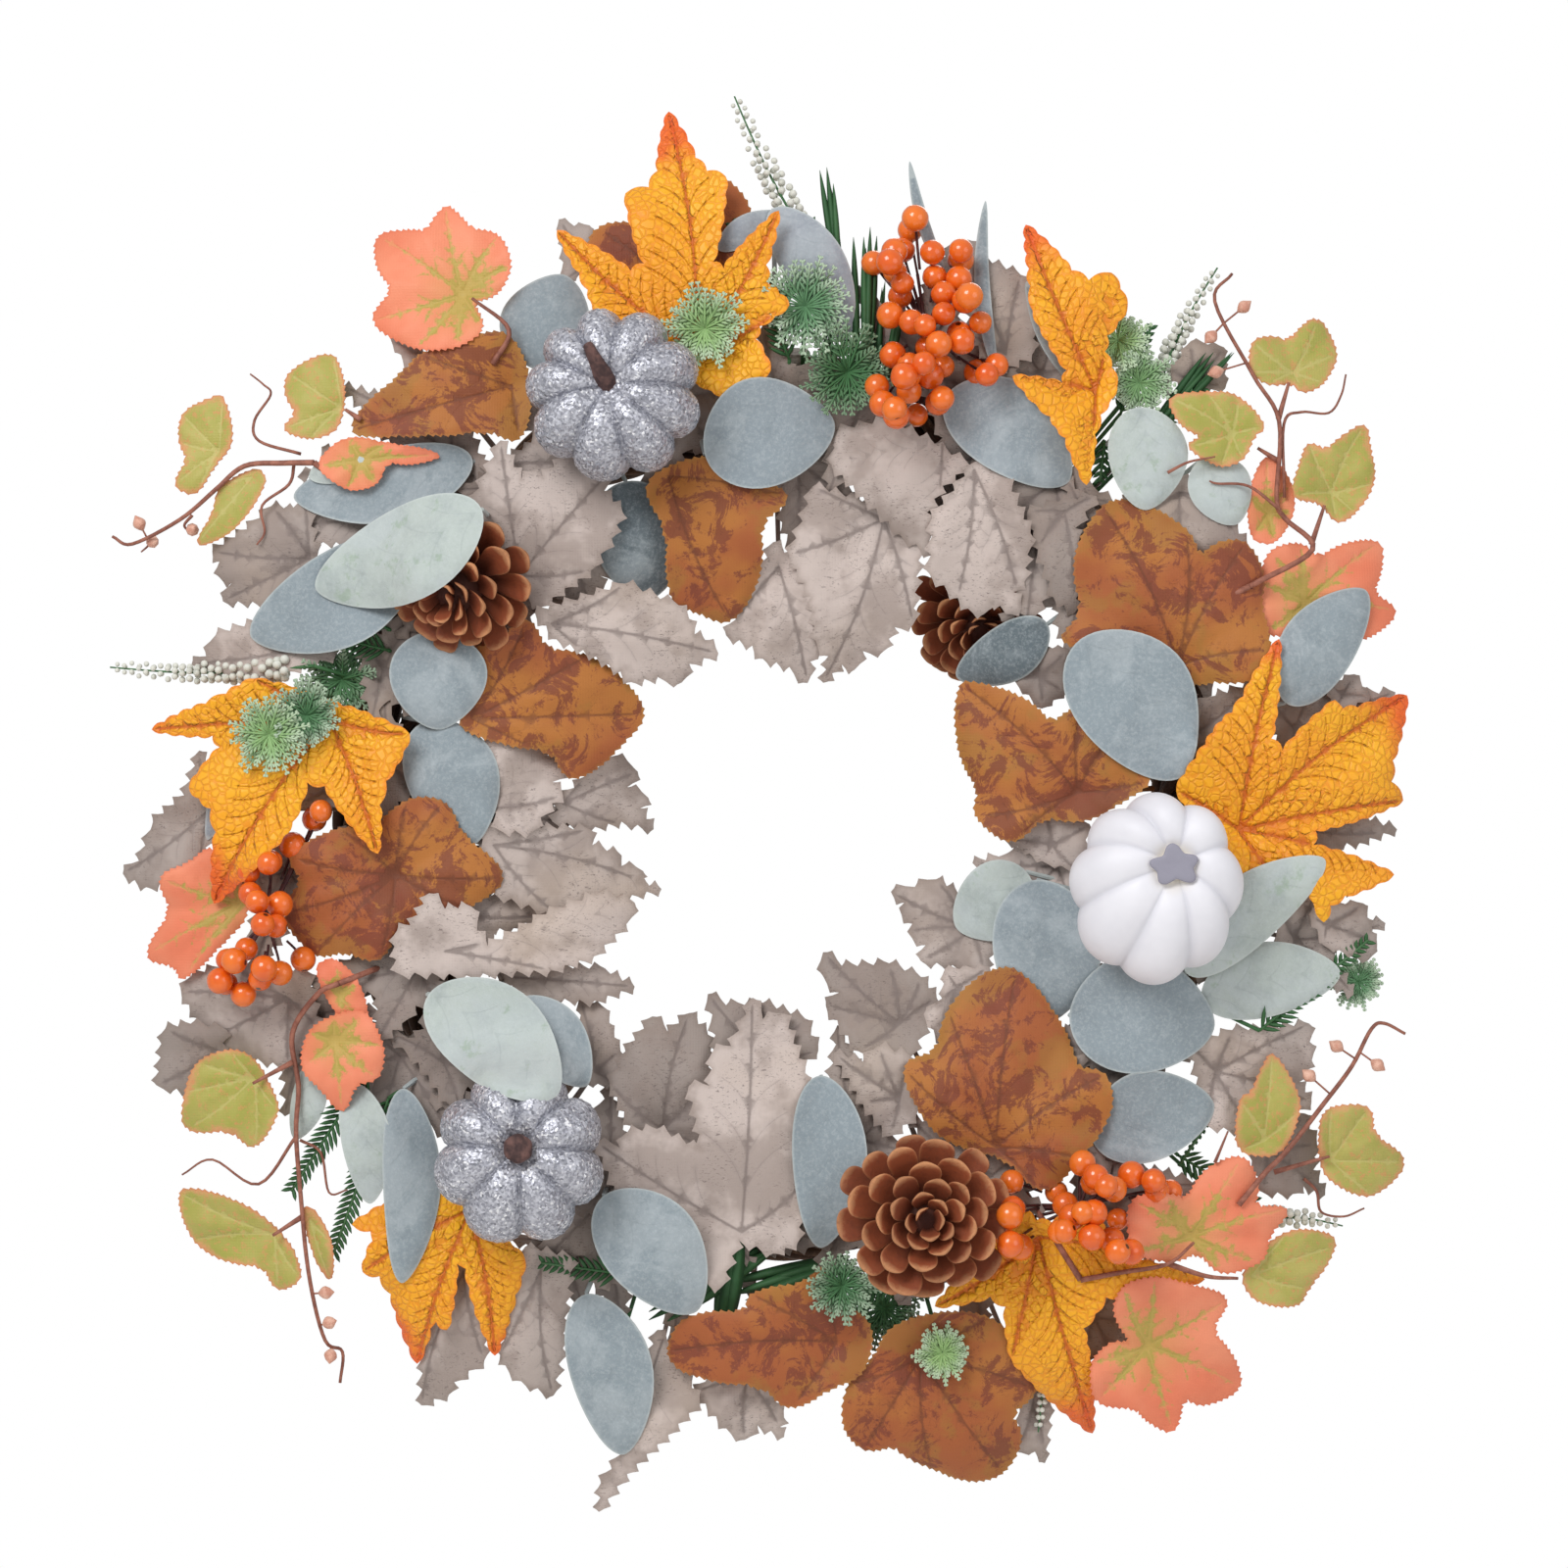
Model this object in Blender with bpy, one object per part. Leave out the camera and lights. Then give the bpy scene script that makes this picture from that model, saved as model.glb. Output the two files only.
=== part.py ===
"""Harvest door wreath: a twisted vine ring on a wire hoop, dressed with leaf sprays, mini pumpkins,
pine cones and berries, and hung by a hinged D-ring at the back.

The wreath stands upright in the XZ plane and faces -Y. The origin is the hinge line of the hanging
ring, and everything is parented to an empty at the centre of the vine ring. Leaf places are
(x, z) in millimetres from that centre, seen from the front, for a vine ring of LAYOUT_RADIUS.
"""

import math

import bmesh
import bpy
import numpy as np
from mathutils import Vector
from mathutils.geometry import delaunay_2d_cdt

MM = 0.001

# Driving dimensions, in millimetres
RING_RADIUS = 155.0  # centreline of the vine ring
LAYOUT_RADIUS = 155.0  # ring radius for which the leaf places are written
STRAND_RADIUS = 9.0  # one vine strand
STRAND_GAP = 1.0  # daylight between neighbouring strands
STRAND_TURNS = 4  # helical turns of a strand round the whole ring
HOOP_WIRE_RADIUS = 1.0
BAND_THICKNESS = 1.2
BAND_WIDTH = 14.0
BAND_GAP = 0.7  # band to vine bundle
BAND_FOOT = 8.0  # half width of the flat back of a band
BAND_CLOCK = (60.0, 140.0, 220.0, 300.0)  # degrees clockwise from the top
STRAP_WIDTH = 18.0
KNUCKLE_LENGTH = 11.0
KNUCKLE_WALL = 1.2
RING_WIRE_RADIUS = 1.1
HINGE_GAP = 0.35  # radial running gap of the ring wire in its knuckle
HANGER_WIDTH = 24.0
HANGER_DROP = 24.0
LEAF_THICKNESS = 0.8
STEM_WIDTH = 3.0
STACK_GAP = 0.4  # daylight between one spray and whatever it rests on
DOME_CLEARANCE = 2.0  # daylight between the vine bundle's bands and the lowest leaves
DOME_SAG = 16.0  # how far the leaf bed falls back, DOME_REACH from the ring's centreline
DOME_REACH = 100.0
PUMPKIN_RADIUS = 36.0
PUMPKIN_DEPTH = 50.0
STEM_SEAT_RADIUS = 8.0
STEM_GAP = 0.3
CONE_RADIUS = 27.0
CONE_DEPTH = 34.0
BERRY_RADIUS = 4.4
BERRY_STALK = 1.6

# Segment counts
RING_STEPS = 48
STRAND_SIDES = 6
HOOP_SIDES = 4
BAND_STEPS = 16
OVAL_STEPS = 8
BLADE_STEPS = 6
HANGER_SIDES = 8
STAR_POINTS = 6
STAR_NOTCH = 0.72  # depth of the notches in a feathery head, as a share of its radius
PINCH_ROUNDS = 4
PINCH_BRIDGE = 1.3  # size of the patch that closes a pinch between two outlines
MERGE_DISTANCE = 0.05  # outline points nearer than this are one point
SMALLEST_TRIANGLE = 1e-4  # square millimetres

# Values that follow from the dimensions
STRAND_OFFSET = (2 * STRAND_RADIUS + STRAND_GAP) / math.sqrt(3.0)
BUNDLE_RADIUS = STRAND_OFFSET + STRAND_RADIUS
BAND_INNER = BUNDLE_RADIUS + BAND_GAP
BAND_OUTER = BAND_INNER + BAND_THICKNESS
KNUCKLE_INNER = RING_WIRE_RADIUS + HINGE_GAP
KNUCKLE_OUTER = KNUCKLE_INNER + KNUCKLE_WALL
HINGE_DEPTH = BAND_OUTER + KNUCKLE_OUTER - KNUCKLE_WALL / 2  # hinge line behind the ring plane
DOME_CROWN = BAND_OUTER + DOME_CLEARANCE

# Outlines of the lobed leaves: (vein junction, outline). T marks a lobe's tip, n a notch or a side.
YELLOW_LEAVES = [
    ((-32, 172), "T-70,186 n-75,198 T-86,219 n-51,199 T-60,233 n-49,236 T-44,266 n-31,242 T-22,239"
     " n-28,198 T-2,226 n-8,200 T2,190 n-12,180 T-5,165 T-22,155"),
    ((118, 158), "T114,122 n104,144 T86,163 n110,160 T94,188 n93,200 T92,222 n113,199 T124,203"
     " T130,190 n120,176 T126,160 n118,146"),
    ((172, -8), "T148,7 n157,22 T165,33 n170,37 T187,64 n183,17 T208,41 n212,37 T237,43 n229,12"
     " T235,3 n192,-11 T231,-25 n207,-35 T204,-43 n196,-25 T176,-30"),
    ((96, -162), "T57,-188 n83,-183 T86,-208 T118,-239 n112,-186 T160,-179 n128,-169 T114,-150"
     " n98,-158 T84,-146 n72,-172"),
    ((-172, 34), "T-200,49 n-213,42 T-240,30 n-210,27 T-225,8 n-214,-2 T-216,-36 n-187,-10 n-178,15"
     " T-153,-17 n-152,6 T-141,28 n-158,36"),
    ((-119, -152), "T-164,-158 n-155,-161 T-160,-176 n-152,-178 T-140,-212 n-133,-194 T-128,-198"
     " n-123,-166 T-110,-208 n-103,-188 T-98,-170 n-110,-160 T-112,-146 T-134,-142"),
]
RUST_LEAVES = [
    ((-103, 160), "T-104,181 n-122,177 T-138,172 n-143,166 T-168,142 n-140,141 T-112,143 T-99,138"
     " T-95,160"),
    ((-37, 190), "T-68,190 n-76,205 T-72,222 n-52,222 T-50,240 n-40,235 T-27,244 T-12,229 n-16,212"
     " T-10,195"),
    ((-44, 126), "T-30,134 n-10,125 T3,118 n-9,108 T-9,88 T-20,70 n-34,75 T-43,78 n-44,105 T-54,124"),
    ((-118, 34), "T-118,60 n-108,62 T-97,73 n-90,60 T-74,58 T-62,50 T-52,36 T-62,24 T-73,14 T-82,11"
     " n-88,22 T-112,26 T-124,32"),
    ((-147, -25), "T-104,-26 n-122,-10 T-128,3 T-142,4 n-156,-9 T-168,-7 T-188,-18 n-182,-27"
     " T-191,-40 T-178,-56 n-166,-54 T-153,-58 n-146,-46 T-120,-38"),
    ((149, 54), "T103,62 n113,74 T109,95 T120,115 T132,117 T152,106 n157,95 T165,101 T175,101"
     " T182,88 n180,78 T184,60 T182,49 n158,48 T146,44 n134,58"),
    ((111, 6), "T66,48 T76,47 T92,41 n101,32 T112,39 T124,27 T140,11 n128,3 T114,-5 n98,-3 T86,-14"
     " T72,-3 n74,7 T66,22"),
    ((80, -128), "T76,-62 T88,-60 T104,-80 T109,-92 n111,-98 T122,-100 T124,-114 T112,-132"
     " T98,-146 n84,-132 T62,-126 n52,-116 T44,-97 n58,-92 T62,-76"),
    ((20, -202), "T-45,-206 T-38,-192 n-14,-190 T-13,-183 T8,-179 T16,-171 n22,-186 T34,-196"
     " T30,-214 n18,-219 T2,-228 n-8,-218 T-38,-214"),
    ((52, -208), "T24,-218 T22,-234 T30,-244 T42,-242 n46,-246 T56,-251 T72,-257 T84,-254 T91,-240"
     " n86,-230 T97,-221 T92,-205 T78,-192 n60,-190 T40,-196 n34,-208"),
]
# Each taupe spray: (name, hub where its stems meet, leaves)
TAUPE_SPRAYS = [
    ("outer_left_top", (-150, 78), [
        ((-180, 95), "T-182,130 T-184,112 n-190,114 T-195,115 n-204,106 T-218,98 n-215,94 T-215,88"
         " n-210,86 T-214,79 T-196,78 T-176,90"),
        ((-172, 64), "T-226,55 n-220,58 T-216,66 T-199,71 T-170,70 T-170,58 n-188,52 T-198,49"
         " n-208,50"),
        ((-138, 172), "T-150,179 T-140,179 T-134,168 n-142,166"),
    ]),
    ("inner_left_top", (-112, 96), [
        ((-100, 88), "T-107,139 n-99,124 T-93,128 n-91,125 T-83,133 T-66,128 n-68,120 T-61,112"
         " n-65,102 T-73,90 T-92,76 n-112,92 T-118,115"),
        ((-88, 70), "T-94,74 T-84,77 T-60,85 T-40,77 n-36,72 T-34,66 n-30,64 T-25,59 n-36,55"
         " T-39,48 n-48,50 T-58,48 n-62,52 T-76,60 n-86,64"),
        ((-74, 208), "T-86,225 n-80,222 T-74,222 T-72,205 T-84,200 n-84,208"),
    ]),
    ("inner_top", (30, 140), [
        ((-2, 92), "T-4,101 T9,90 n12,70 T13,57 n10,56 T9,48 n2,54 T-8,57 n-12,62 T-22,66 T-12,84"),
        ((38, 110), "T11,122 T36,115 T52,100 T49,70 n42,69 T38,60 n30,60 T27,53 n22,55 T15,48"
         " n17,58 T12,64 n10,80 T2,96"),
        ((60, 138), "T20,143 T40,147 T57,138 T70,130 n60,122 T54,112 T56,96 n44,104 T30,118"
         " T18,130"),
        ((72, 128), "T72,131 T84,125 T93,104 n92,96 T91,86 n87,82 T90,76 n84,74 T82,77 n78,79"
         " T76,74 n70,76 T66,80 T55,89 T56,110"),
    ]),
    ("right_top", (118, 108), [
        ((106, 112), "T92,112 T104,116 T118,118 n110,106 T113,96 T110,74 n102,80 T96,98"),
        ((150, 120), "T139,112 T150,126 T163,118 T176,100 T150,96"),
        ((84, 172), "T70,217 n74,210 T90,203 T96,190 T94,172 T80,165 T70,180"),
        ((156, 162), "T155,178 T168,176 T168,160 T152,158 T147,166"),
        ((97, 50), "T88,58 T96,62 T108,60 T107,44 T98,38 T88,48"),
        ((212, 43), "T207,47 T217,51 T223,42 T208,36"),
    ]),
    ("inner_left", (-140, -14), [
        ((-112, 0), "T-117,24 n-113,23 T-110,27 n-104,26 T-100,28 n-95,25 T-88,28 n-90,20 T-82,15"
         " n-88,10 T-84,5 n-88,2 T-96,-9 T-108,-8 T-112,10"),
        ((-84, 2), "T-76,12 T-65,20 n-58,16 T-56,14 n-60,8 T-52,4 n-55,0 T-50,-8 n-62,-5 T-72,-7"
         " T-88,-5 n-84,4"),
        ((-110, -14), "T-116,-5 T-74,-8 n-73,-14 T-62,-18 n-62,-22 T-54,-24 n-56,-28 T-47,-31"
         " n-58,-33 T-66,-36 T-84,-42 T-110,-32"),
        ((-128, -54), "T-147,-52 n-146,-46 T-141,-44 n-136,-36 T-134,-32 n-128,-38 T-118,-37"
         " n-116,-46 T-112,-52 T-90,-40 T-70,-32 T-57,-36 T-60,-44 T-72,-56 T-88,-61 T-120,-63"
         " T-146,-62"),
        ((-104, -64), "T-110,-58 T-68,-61 n-66,-63 T-57,-68 n-72,-73 T-100,-72"),
    ]),
    ("outer_left", (-182, -60), [
        ((-218, 0), "T-253,-25 n-246,-20 T-241,-8 n-240,-5 T-228,5 T-222,22 T-212,0 T-222,-20"
         " n-232,-28 T-243,-30"),
        ((-188, -72), "T-230,-70 n-226,-64 T-210,-58 T-180,-62 T-176,-84 T-188,-98 n-206,-94"
         " T-222,-90 n-224,-80"),
        ((-216, -92), "T-236,-84 n-238,-90 T-240,-106 n-232,-107 T-230,-110 T-216,-100 T-212,-84"
         " n-226,-82"),
    ]),
    ("low", (-62, -158), [
        ((-46, -122), "T-50,-79 n-44,-85 T-36,-78 T-29,-86 n-28,-92 T-29,-104 T-32,-128 T-58,-120"
         " T-66,-104 n-60,-92"),
        ((-8, -96), "T-29,-71 n-22,-75 T-8,-74 T8,-80 T13,-92 T0,-100 T-26,-92 n-26,-86"),
        ((-72, -100), "T-78,-72 n-68,-76 T-62,-92 T-60,-106 T-76,-104"),
        ((-16, -160), "T-12,-72 n-8,-80 T0,-78 T8,-100 T9,-140 T5,-164 n-4,-168 T-17,-163"
         " T-24,-181 n-34,-178 T-44,-160 T-62,-148 T-71,-126 n-62,-128 T-59,-122 T-48,-121"
         " n-31,-129 T-36,-105 n-28,-105 T-27,-92 n-20,-90"),
        ((-122, -176), "T-139,-229 n-134,-226 T-128,-224 n-126,-219 T-114,-210 T-112,-180"
         " T-124,-164 T-138,-196"),
        ((-92, -174), "T-108,-208 n-106,-212 T-100,-218 T-88,-224 T-84,-205 T-80,-170 T-98,-166"
         " T-104,-190"),
        ((-46, -202), "T-71,-270 n-70,-258 T-62,-246 T-58,-225 T-48,-198 T-40,-208 T-32,-226"
         " T-44,-238 T-60,-254"),
        ((-14, -216), "T-34,-222 T-30,-218 T-8,-213 T0,-232 n-2,-236 T0,-240 n-10,-235 T-15,-241"
         " n-22,-236"),
    ]),
    ("right_low", (112, -118), [
        ((102, -14), "T99,1 n104,-3 T116,-6 T112,-24 T98,-20 T84,-12 n92,-6"),
        ((72, -46), "T58,-27 T66,-32 T80,-52 T76,-62 T52,-58 n54,-52 T47,-47 n49,-44 T44,-38"
         " n46,-36 T41,-32 n50,-30"),
        ((44, -82), "T15,-55 n22,-60 T40,-59 T52,-64 T58,-72 T54,-82 T48,-94 n40,-92 T28,-92"
         " T16,-75 n21,-70 T15,-64"),
        ((66, -68), "T53,-78 n60,-72 T61,-61 T78,-60 T72,-80 T60,-90"),
        ((44, -110), "T19,-93 n30,-96 T36,-90 T48,-94 T50,-116 T40,-124 T30,-112"),
        ((164, -100), "T154,-90 T170,-84 T200,-82 T201,-96 n196,-104 T201,-112 T180,-124 T160,-120"),
        ((184, -130), "T182,-122 T198,-116 n200,-122 T203,-128 n202,-138 T207,-148 n198,-144"
         " T194,-147 T182,-146 T178,-134"),
        ((95, -228), "T96,-218 T102,-228 T100,-251 n96,-246 T88,-246 T90,-230"),
        ((206, -44), "T199,-40 T206,-36 T220,-36 T226,-52 T222,-58 T205,-52"),
    ]),
]
# Sage sprays: (name, hub, leaves), a leaf being base, tip and width
SAGE_SPRAYS = [
    ("top", (-6, 150), [((-93, 166), (-84, 203), 32), ((-60, 124), (-52, 79), 34),
     ((-30, 134), (19, 146), 38), ((-4, 228), (24, 178), 22), ((-25, 212), (2, 226), 12)]),
    ("left_top", (-142, 90), [((-115, 112), (-177, 82), 26), ((-140, 98), (-202, 65), 34),
     ((-180, 126), (-150, 130), 12), ((-134, 67), (-130, 30), 34), ((-136, 33), (-118, -14), 32),
     ((-212, 26), (-219, -12), 10)]),
    ("right_top", (112, 112), [((62, 157), (108, 124), 32), ((135, 152), (137, 113), 28),
     ((158, 132), (172, 108), 22), ((100, 70), (66, 50), 20), ((62, 200), (48, 247), 5),
     ((80, 165), (77, 232), 6), ((112, 160), (92, 200), 9)]),
    ("right_mid", (150, 20), [((112, 64), (150, 12), 36), ((190, 40), (221, 83), 26)]),
    ("right_low", (150, -66), [((92, -24), (66, -46), 28), ((96, -27), (98, -82), 38),
     ((108, -78), (163, -82), 42), ((116, -124), (163, -112), 32), ((152, -62), (204, -19), 24),
     ((158, -72), (211, -62), 26)]),
    ("low", (-104, -96), [((-134, -70), (-84, -106), 34), ((-100, -72), (-74, -104), 20),
     ((-163, -104), (-157, -150), 18), ((-144, -106), (-145, -180), 20),
     ((-178, -96), (-186, -126), 14), ((-68, -146), (-33, -190), 34), ((-72, -176), (-60, -244), 24),
     ((14, -101), (14, -166), 26)]),
]
# Ivy vine sprays: (name, stem points, leaves)
VINE_SPRAYS = [
    ("left_top", [(-150, 120), (-172, 130), (-205, 131), (-216, 120), (-230, 109), (-249, 101)], [
        ((-122, 195), "T-129,230 T-124,226 n-119,220 T-108,218 T-103,206 T-108,195 n-118,192"
         " T-113,181 T-124,174 T-140,174 T-158,185 n-148,197 T-155,206 T-156,219 T-143,220"
         " n-136,219"),
        ((-168, 152), "T-172,174 T-189,166 T-190,158 n-185,150 T-191,144 T-180,140 T-170,143"
         " T-167,152 T-167,163"),
        ((-215, 136), "T-214,158 n-220,156 T-230,151 T-231,140 n-227,133 T-233,123 T-224,119"
         " T-217,130 T-209,140"),
        ((-202, 126), "T-200,130 T-196,124 T-209,105 T-225,99 T-217,112 T-215,122"),
        ((-160, 132), "T-178,130 T-166,141 T-150,138 T-128,134 T-140,130 n-150,131 T-154,122"
         " T-165,120"),
    ]),
    ("right_top", [(176, 84), (186, 94), (190, 102), (187, 117), (188, 147), (178, 168),
     (164, 194), (171, 204)], [
        ((198, 78), "T228,102 T214,101 n203,95 T196,101 T184,98 T180,85 T182,66 n193,66 T206,62"
         " T223,65 T235,75 n224,82 T228,92"),
        ((184, 112), "T184,136 T193,124 T194,112 T186,100 T177,102 T176,120"),
        ((194, 166), "T204,189 T212,174 T206,162 T198,158 n193,162 T184,161 T177,166 T178,178"
         " T186,180 n192,178"),
        ((170, 142), "T145,156 T160,158 T172,157 T183,145 T178,141 T174,132 T165,129 T152,137"
         " n158,141 T150,145"),
        ((208, 120), "T222,147 T223,137 T225,124 T217,112 T210,108 n204,116 T192,118 T196,132"
         " T199,139 n206,136 T213,142"),
    ]),
    ("left_low", [(-176, -58), (-184, -86), (-184, -120), (-182, -150), (-180, -182), (-175, -204),
     (-171, -222)], [
        ((-206, -36), "T-206,-26 T-217,-14 n-226,-21 T-238,-26 n-233,-39 T-245,-57 n-232,-60"
         " T-229,-66 T-212,-50 n-203,-40"),
        ((-168, -70), "T-178,-60 T-170,-56 T-160,-66 T-157,-82 T-168,-80"),
        ((-170, -88), "T-170,-78 T-158,-76 T-151,-90 T-153,-102 n-162,-104 T-167,-116 n-175,-106"
         " T-183,-98 T-180,-84"),
        ((-201, -102), "T-229,-123 n-210,-122 T-201,-130 T-191,-115 T-194,-106 T-201,-94 T-210,-91"
         " T-223,-96 T-228,-108"),
        ((-194, -162), "T-232,-146 T-222,-145 T-206,-150 T-197,-156 n-191,-162 T-186,-168"
         " T-183,-179 T-193,-184 n-198,-174 T-215,-172 T-226,-165"),
        ((-180, -156), "T-183,-151 T-178,-152 T-171,-165 T-172,-181 T-178,-172"),
    ]),
    ("right_low", [(112, -178), (145, -172), (166, -160), (186, -138), (203, -114), (216, -98),
     (224, -86), (238, -86)], [
        ((154, -162), "T174,-131 T180,-142 T178,-151 T193,-152 T184,-162 T182,-172 T166,-177"
         " n157,-168 T146,-172 T130,-166 T130,-147 T144,-145 n152,-148 T160,-136"),
        ((138, -204), "T140,-177 n152,-180 T170,-186 T162,-198 T172,-210 T175,-222 T160,-228"
         " n152,-224 T149,-239 T138,-233 n134,-228 T118,-226 T116,-210 T124,-202 n132,-203"
         " T124,-190 T128,-180"),
        ((182, -126), "T185,-92 T193,-104 T196,-114 T188,-132 T171,-130 T172,-110 n177,-107"
         " T181,-98"),
        ((208, -134), "T203,-118 T208,-113 T223,-113 n224,-124 T239,-135 T225,-148 T215,-146"
         " T204,-138"),
        ((178, -178), "T211,-167 T208,-162 T192,-160 T177,-171 T174,-180 T180,-188 T196,-190"
         " T200,-183"),
    ]),
]
# Greens: (name, hub, heads (x, z, radius), blades (base, tip, width))
GREENS_SPRAYS = [
    ("top", (4, 172), [(-30, 181, 14), (8, 190, 16), (24, 165, 16)],
     [((14, 200), (-20, 271), 8), ((20, 205), (16, 240), 5), ((30, 168), (28, 217), 6),
      ((36, 160), (40, 200), 5)]),
    ("right_top", (128, 148), [(127, 178, 11), (135, 162, 12)],
     [((140, 150), (166, 206), 8), ((138, 140), (164, 170), 6), ((122, 140), (120, 124), 8)]),
    ("left", (-150, 62), [(-168, 49, 14), (-180, 35, 12), (-194, 28, 13)],
     [((-178, 50), (-259, 49), 8), ((-150, 68), (-160, 74), 14)]),
    ("low", (24, -176), [(60, -206, 10), (38, -190, 14), (22, -180, 12), (219, -66, 9)],
     [((-18, -160), (-26, -196), 12), ((150, -132), (180, -150), 10), ((96, -170), (97, -238), 6),
      ((200, -60), (150, -136), 4), ((-62, -176), (-92, -172), 10), ((-60, -196), (-56, -222), 8)]),
]
BERRY_SPRAYS = [
    ("top", (52, 150), [(48, 220), (34, 207), (45, 212), (56, 210), (42, 203), (57, 201), (67, 208),
     (66, 200), (44, 194), (40, 186), (48, 183), (60, 194), (68, 191), (60, 186), (66, 179),
     (74, 183), (54, 174), (41, 171), (47, 167), (60, 167), (55, 163), (35, 159), (47, 157),
     (37, 152), (42, 147), (50, 149), (58, 153), (80, 167), (73, 165)]),
    ("left", (-176, -40), [(-178, -4), (-186, -14), (-194, -20), (-202, -24), (-201, -32),
     (-190, -36), (-191, -44), (-203, -53), (-210, -57), (-182, -57), (-190, -62), (-197, -64),
     (-211, -66), (-204, -70)]),
    ("low", (96, -152), [(112, -133), (116, -141), (124, -143), (131, -138), (139, -140),
     (146, -145), (103, -145), (86, -141), (86, -150), (108, -153), (116, -151), (126, -155),
     (103, -158), (115, -160), (123, -162), (89, -165), (81, -158), (130, -166)]),
]
PUMPKINS = [  # name, centre, width share, height share, lobes, turn of the first groove
    ("silver_top", (-63, 155), 1.0, 0.92, 9, 10.0),
    ("silver_low", (-99, -130), 1.0, 0.98, 8, 0.0),
    ("white", (139, -30), 0.96, 1.0, 8, 24.0),
]
PINE_CONES = [("left", (-124, 83), 0.94), ("low", (53, -153), 1.06)]
SUNK_CONE = ("inner", (75, 70), 0.86, -12.0)  # tucked inside the ring, below the leaf bed

# Preferred height of each kind of piece above the leaf bed
LIFT = {"greens": 1.0, "taupe": 0.0, "sage": 3.0, "rust": 6.0, "yellow": 8.0, "vine": 5.0,
        "berry": 9.0, "cone": 10.0, "pumpkin": 8.0}

FINISH = {
    "wire": ((0.30, 0.28, 0.26), 0.35, 0.9),
    "vine": ((0.16, 0.09, 0.06), 0.85, 0.0),
    "band": ((0.22, 0.13, 0.08), 0.8, 0.0),
    "hanger": ((0.35, 0.33, 0.30), 0.35, 1.0),
    "silver": ((0.50, 0.51, 0.56), 0.45, 0.4),
    "white": ((0.86, 0.85, 0.87), 0.6, 0.0),
    "stem": ((0.13, 0.07, 0.06), 0.7, 0.0),
    "cone": ((0.28, 0.13, 0.07), 0.75, 0.0),
    "berry": ((0.80, 0.20, 0.05), 0.3, 0.0),
    "yellow": ((0.90, 0.45, 0.05), 0.6, 0.0),
    "rust": ((0.45, 0.16, 0.05), 0.65, 0.0),
    "taupe": ((0.55, 0.46, 0.41), 0.7, 0.0),
    "sage": ((0.35, 0.42, 0.44), 0.9, 0.0),
    "ivy": ((0.60, 0.30, 0.12), 0.6, 0.0),
    "greens": ((0.12, 0.25, 0.12), 0.7, 0.0),
}


def material(name):
    made = bpy.data.materials.get(name)
    if made:
        return made
    colour, rough, metal = FINISH[name]
    made = bpy.data.materials.new(name)
    made.use_nodes = True
    shader = made.node_tree.nodes["Principled BSDF"]
    shader.inputs["Base Color"].default_value = (*colour, 1.0)
    shader.inputs["Roughness"].default_value = rough
    shader.inputs["Metallic"].default_value = metal
    return made


def add_object(name, vertices, faces, finish, parent, smooth=False):
    """A closed mesh from vertices in millimetres, parented to the wreath's centre."""
    mesh = bpy.data.meshes.new(name)
    mesh.from_pydata([Vector(v) * MM for v in vertices], [], faces)
    mesh.materials.append(material(finish))
    if smooth:
        mesh.shade_smooth()
    made = bpy.data.objects.new(name, mesh)
    bpy.context.scene.collection.objects.link(made)
    made.parent = parent
    tidy = bmesh.new()
    tidy.from_mesh(mesh)
    bmesh.ops.recalc_face_normals(tidy, faces=tidy.faces)
    tidy.to_mesh(mesh)
    tidy.free()
    return made


def loft(sections, closed):
    """Faces that join equal rings of points, end to end when closed, else with end caps."""
    count = len(sections[0])
    vertices = [p for ring in sections for p in ring]
    spans = len(sections) if closed else len(sections) - 1
    faces = []
    for i in range(spans):
        j = (i + 1) % len(sections)
        for k in range(count):
            m = (k + 1) % count
            faces.append((i * count + k, i * count + m, j * count + m, j * count + k))
    if not closed:
        faces.append(tuple(range(count)))
        faces.append(tuple((len(sections) - 1) * count + k for k in range(count)))
    return vertices, faces


def ring_point(angle, radial, depth):
    """A point at a clock angle of the vine ring, radial millimetres out and depth forward."""
    r = RING_RADIUS + radial
    return (r * math.sin(angle), -depth, r * math.cos(angle))


def strand(name, phase, offset, radius, sides, parent, finish):
    """A closed helical tube that winds round the ring's centreline."""
    sections = []
    for i in range(RING_STEPS):
        angle = 2 * math.pi * i / RING_STEPS
        twist = phase + STRAND_TURNS * angle
        ring = []
        for k in range(sides):
            turn = twist + 2 * math.pi * k / sides
            out = offset * math.cos(twist) + radius * math.cos(turn)
            front = offset * math.sin(twist) + radius * math.sin(turn)
            ring.append(ring_point(angle, out, front))
        sections.append(ring)
    return add_object(name, *loft(sections, True), finish, parent, smooth=True)


def band_outline(radius, foot):
    """A circle round the bundle as (radial, depth), with a flat back foot wide each side, if any."""
    points = []
    for k in range(BAND_STEPS):
        turn = 2 * math.pi * (k + 0.5) / BAND_STEPS
        out, front = radius * math.cos(turn), radius * math.sin(turn)
        if front < 0 and abs(out) < 1.6 * foot:
            front = -radius
            if abs(out) > 0.6 * foot:
                out = math.copysign(foot, out)
        points.append((out, front))
    return points


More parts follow.
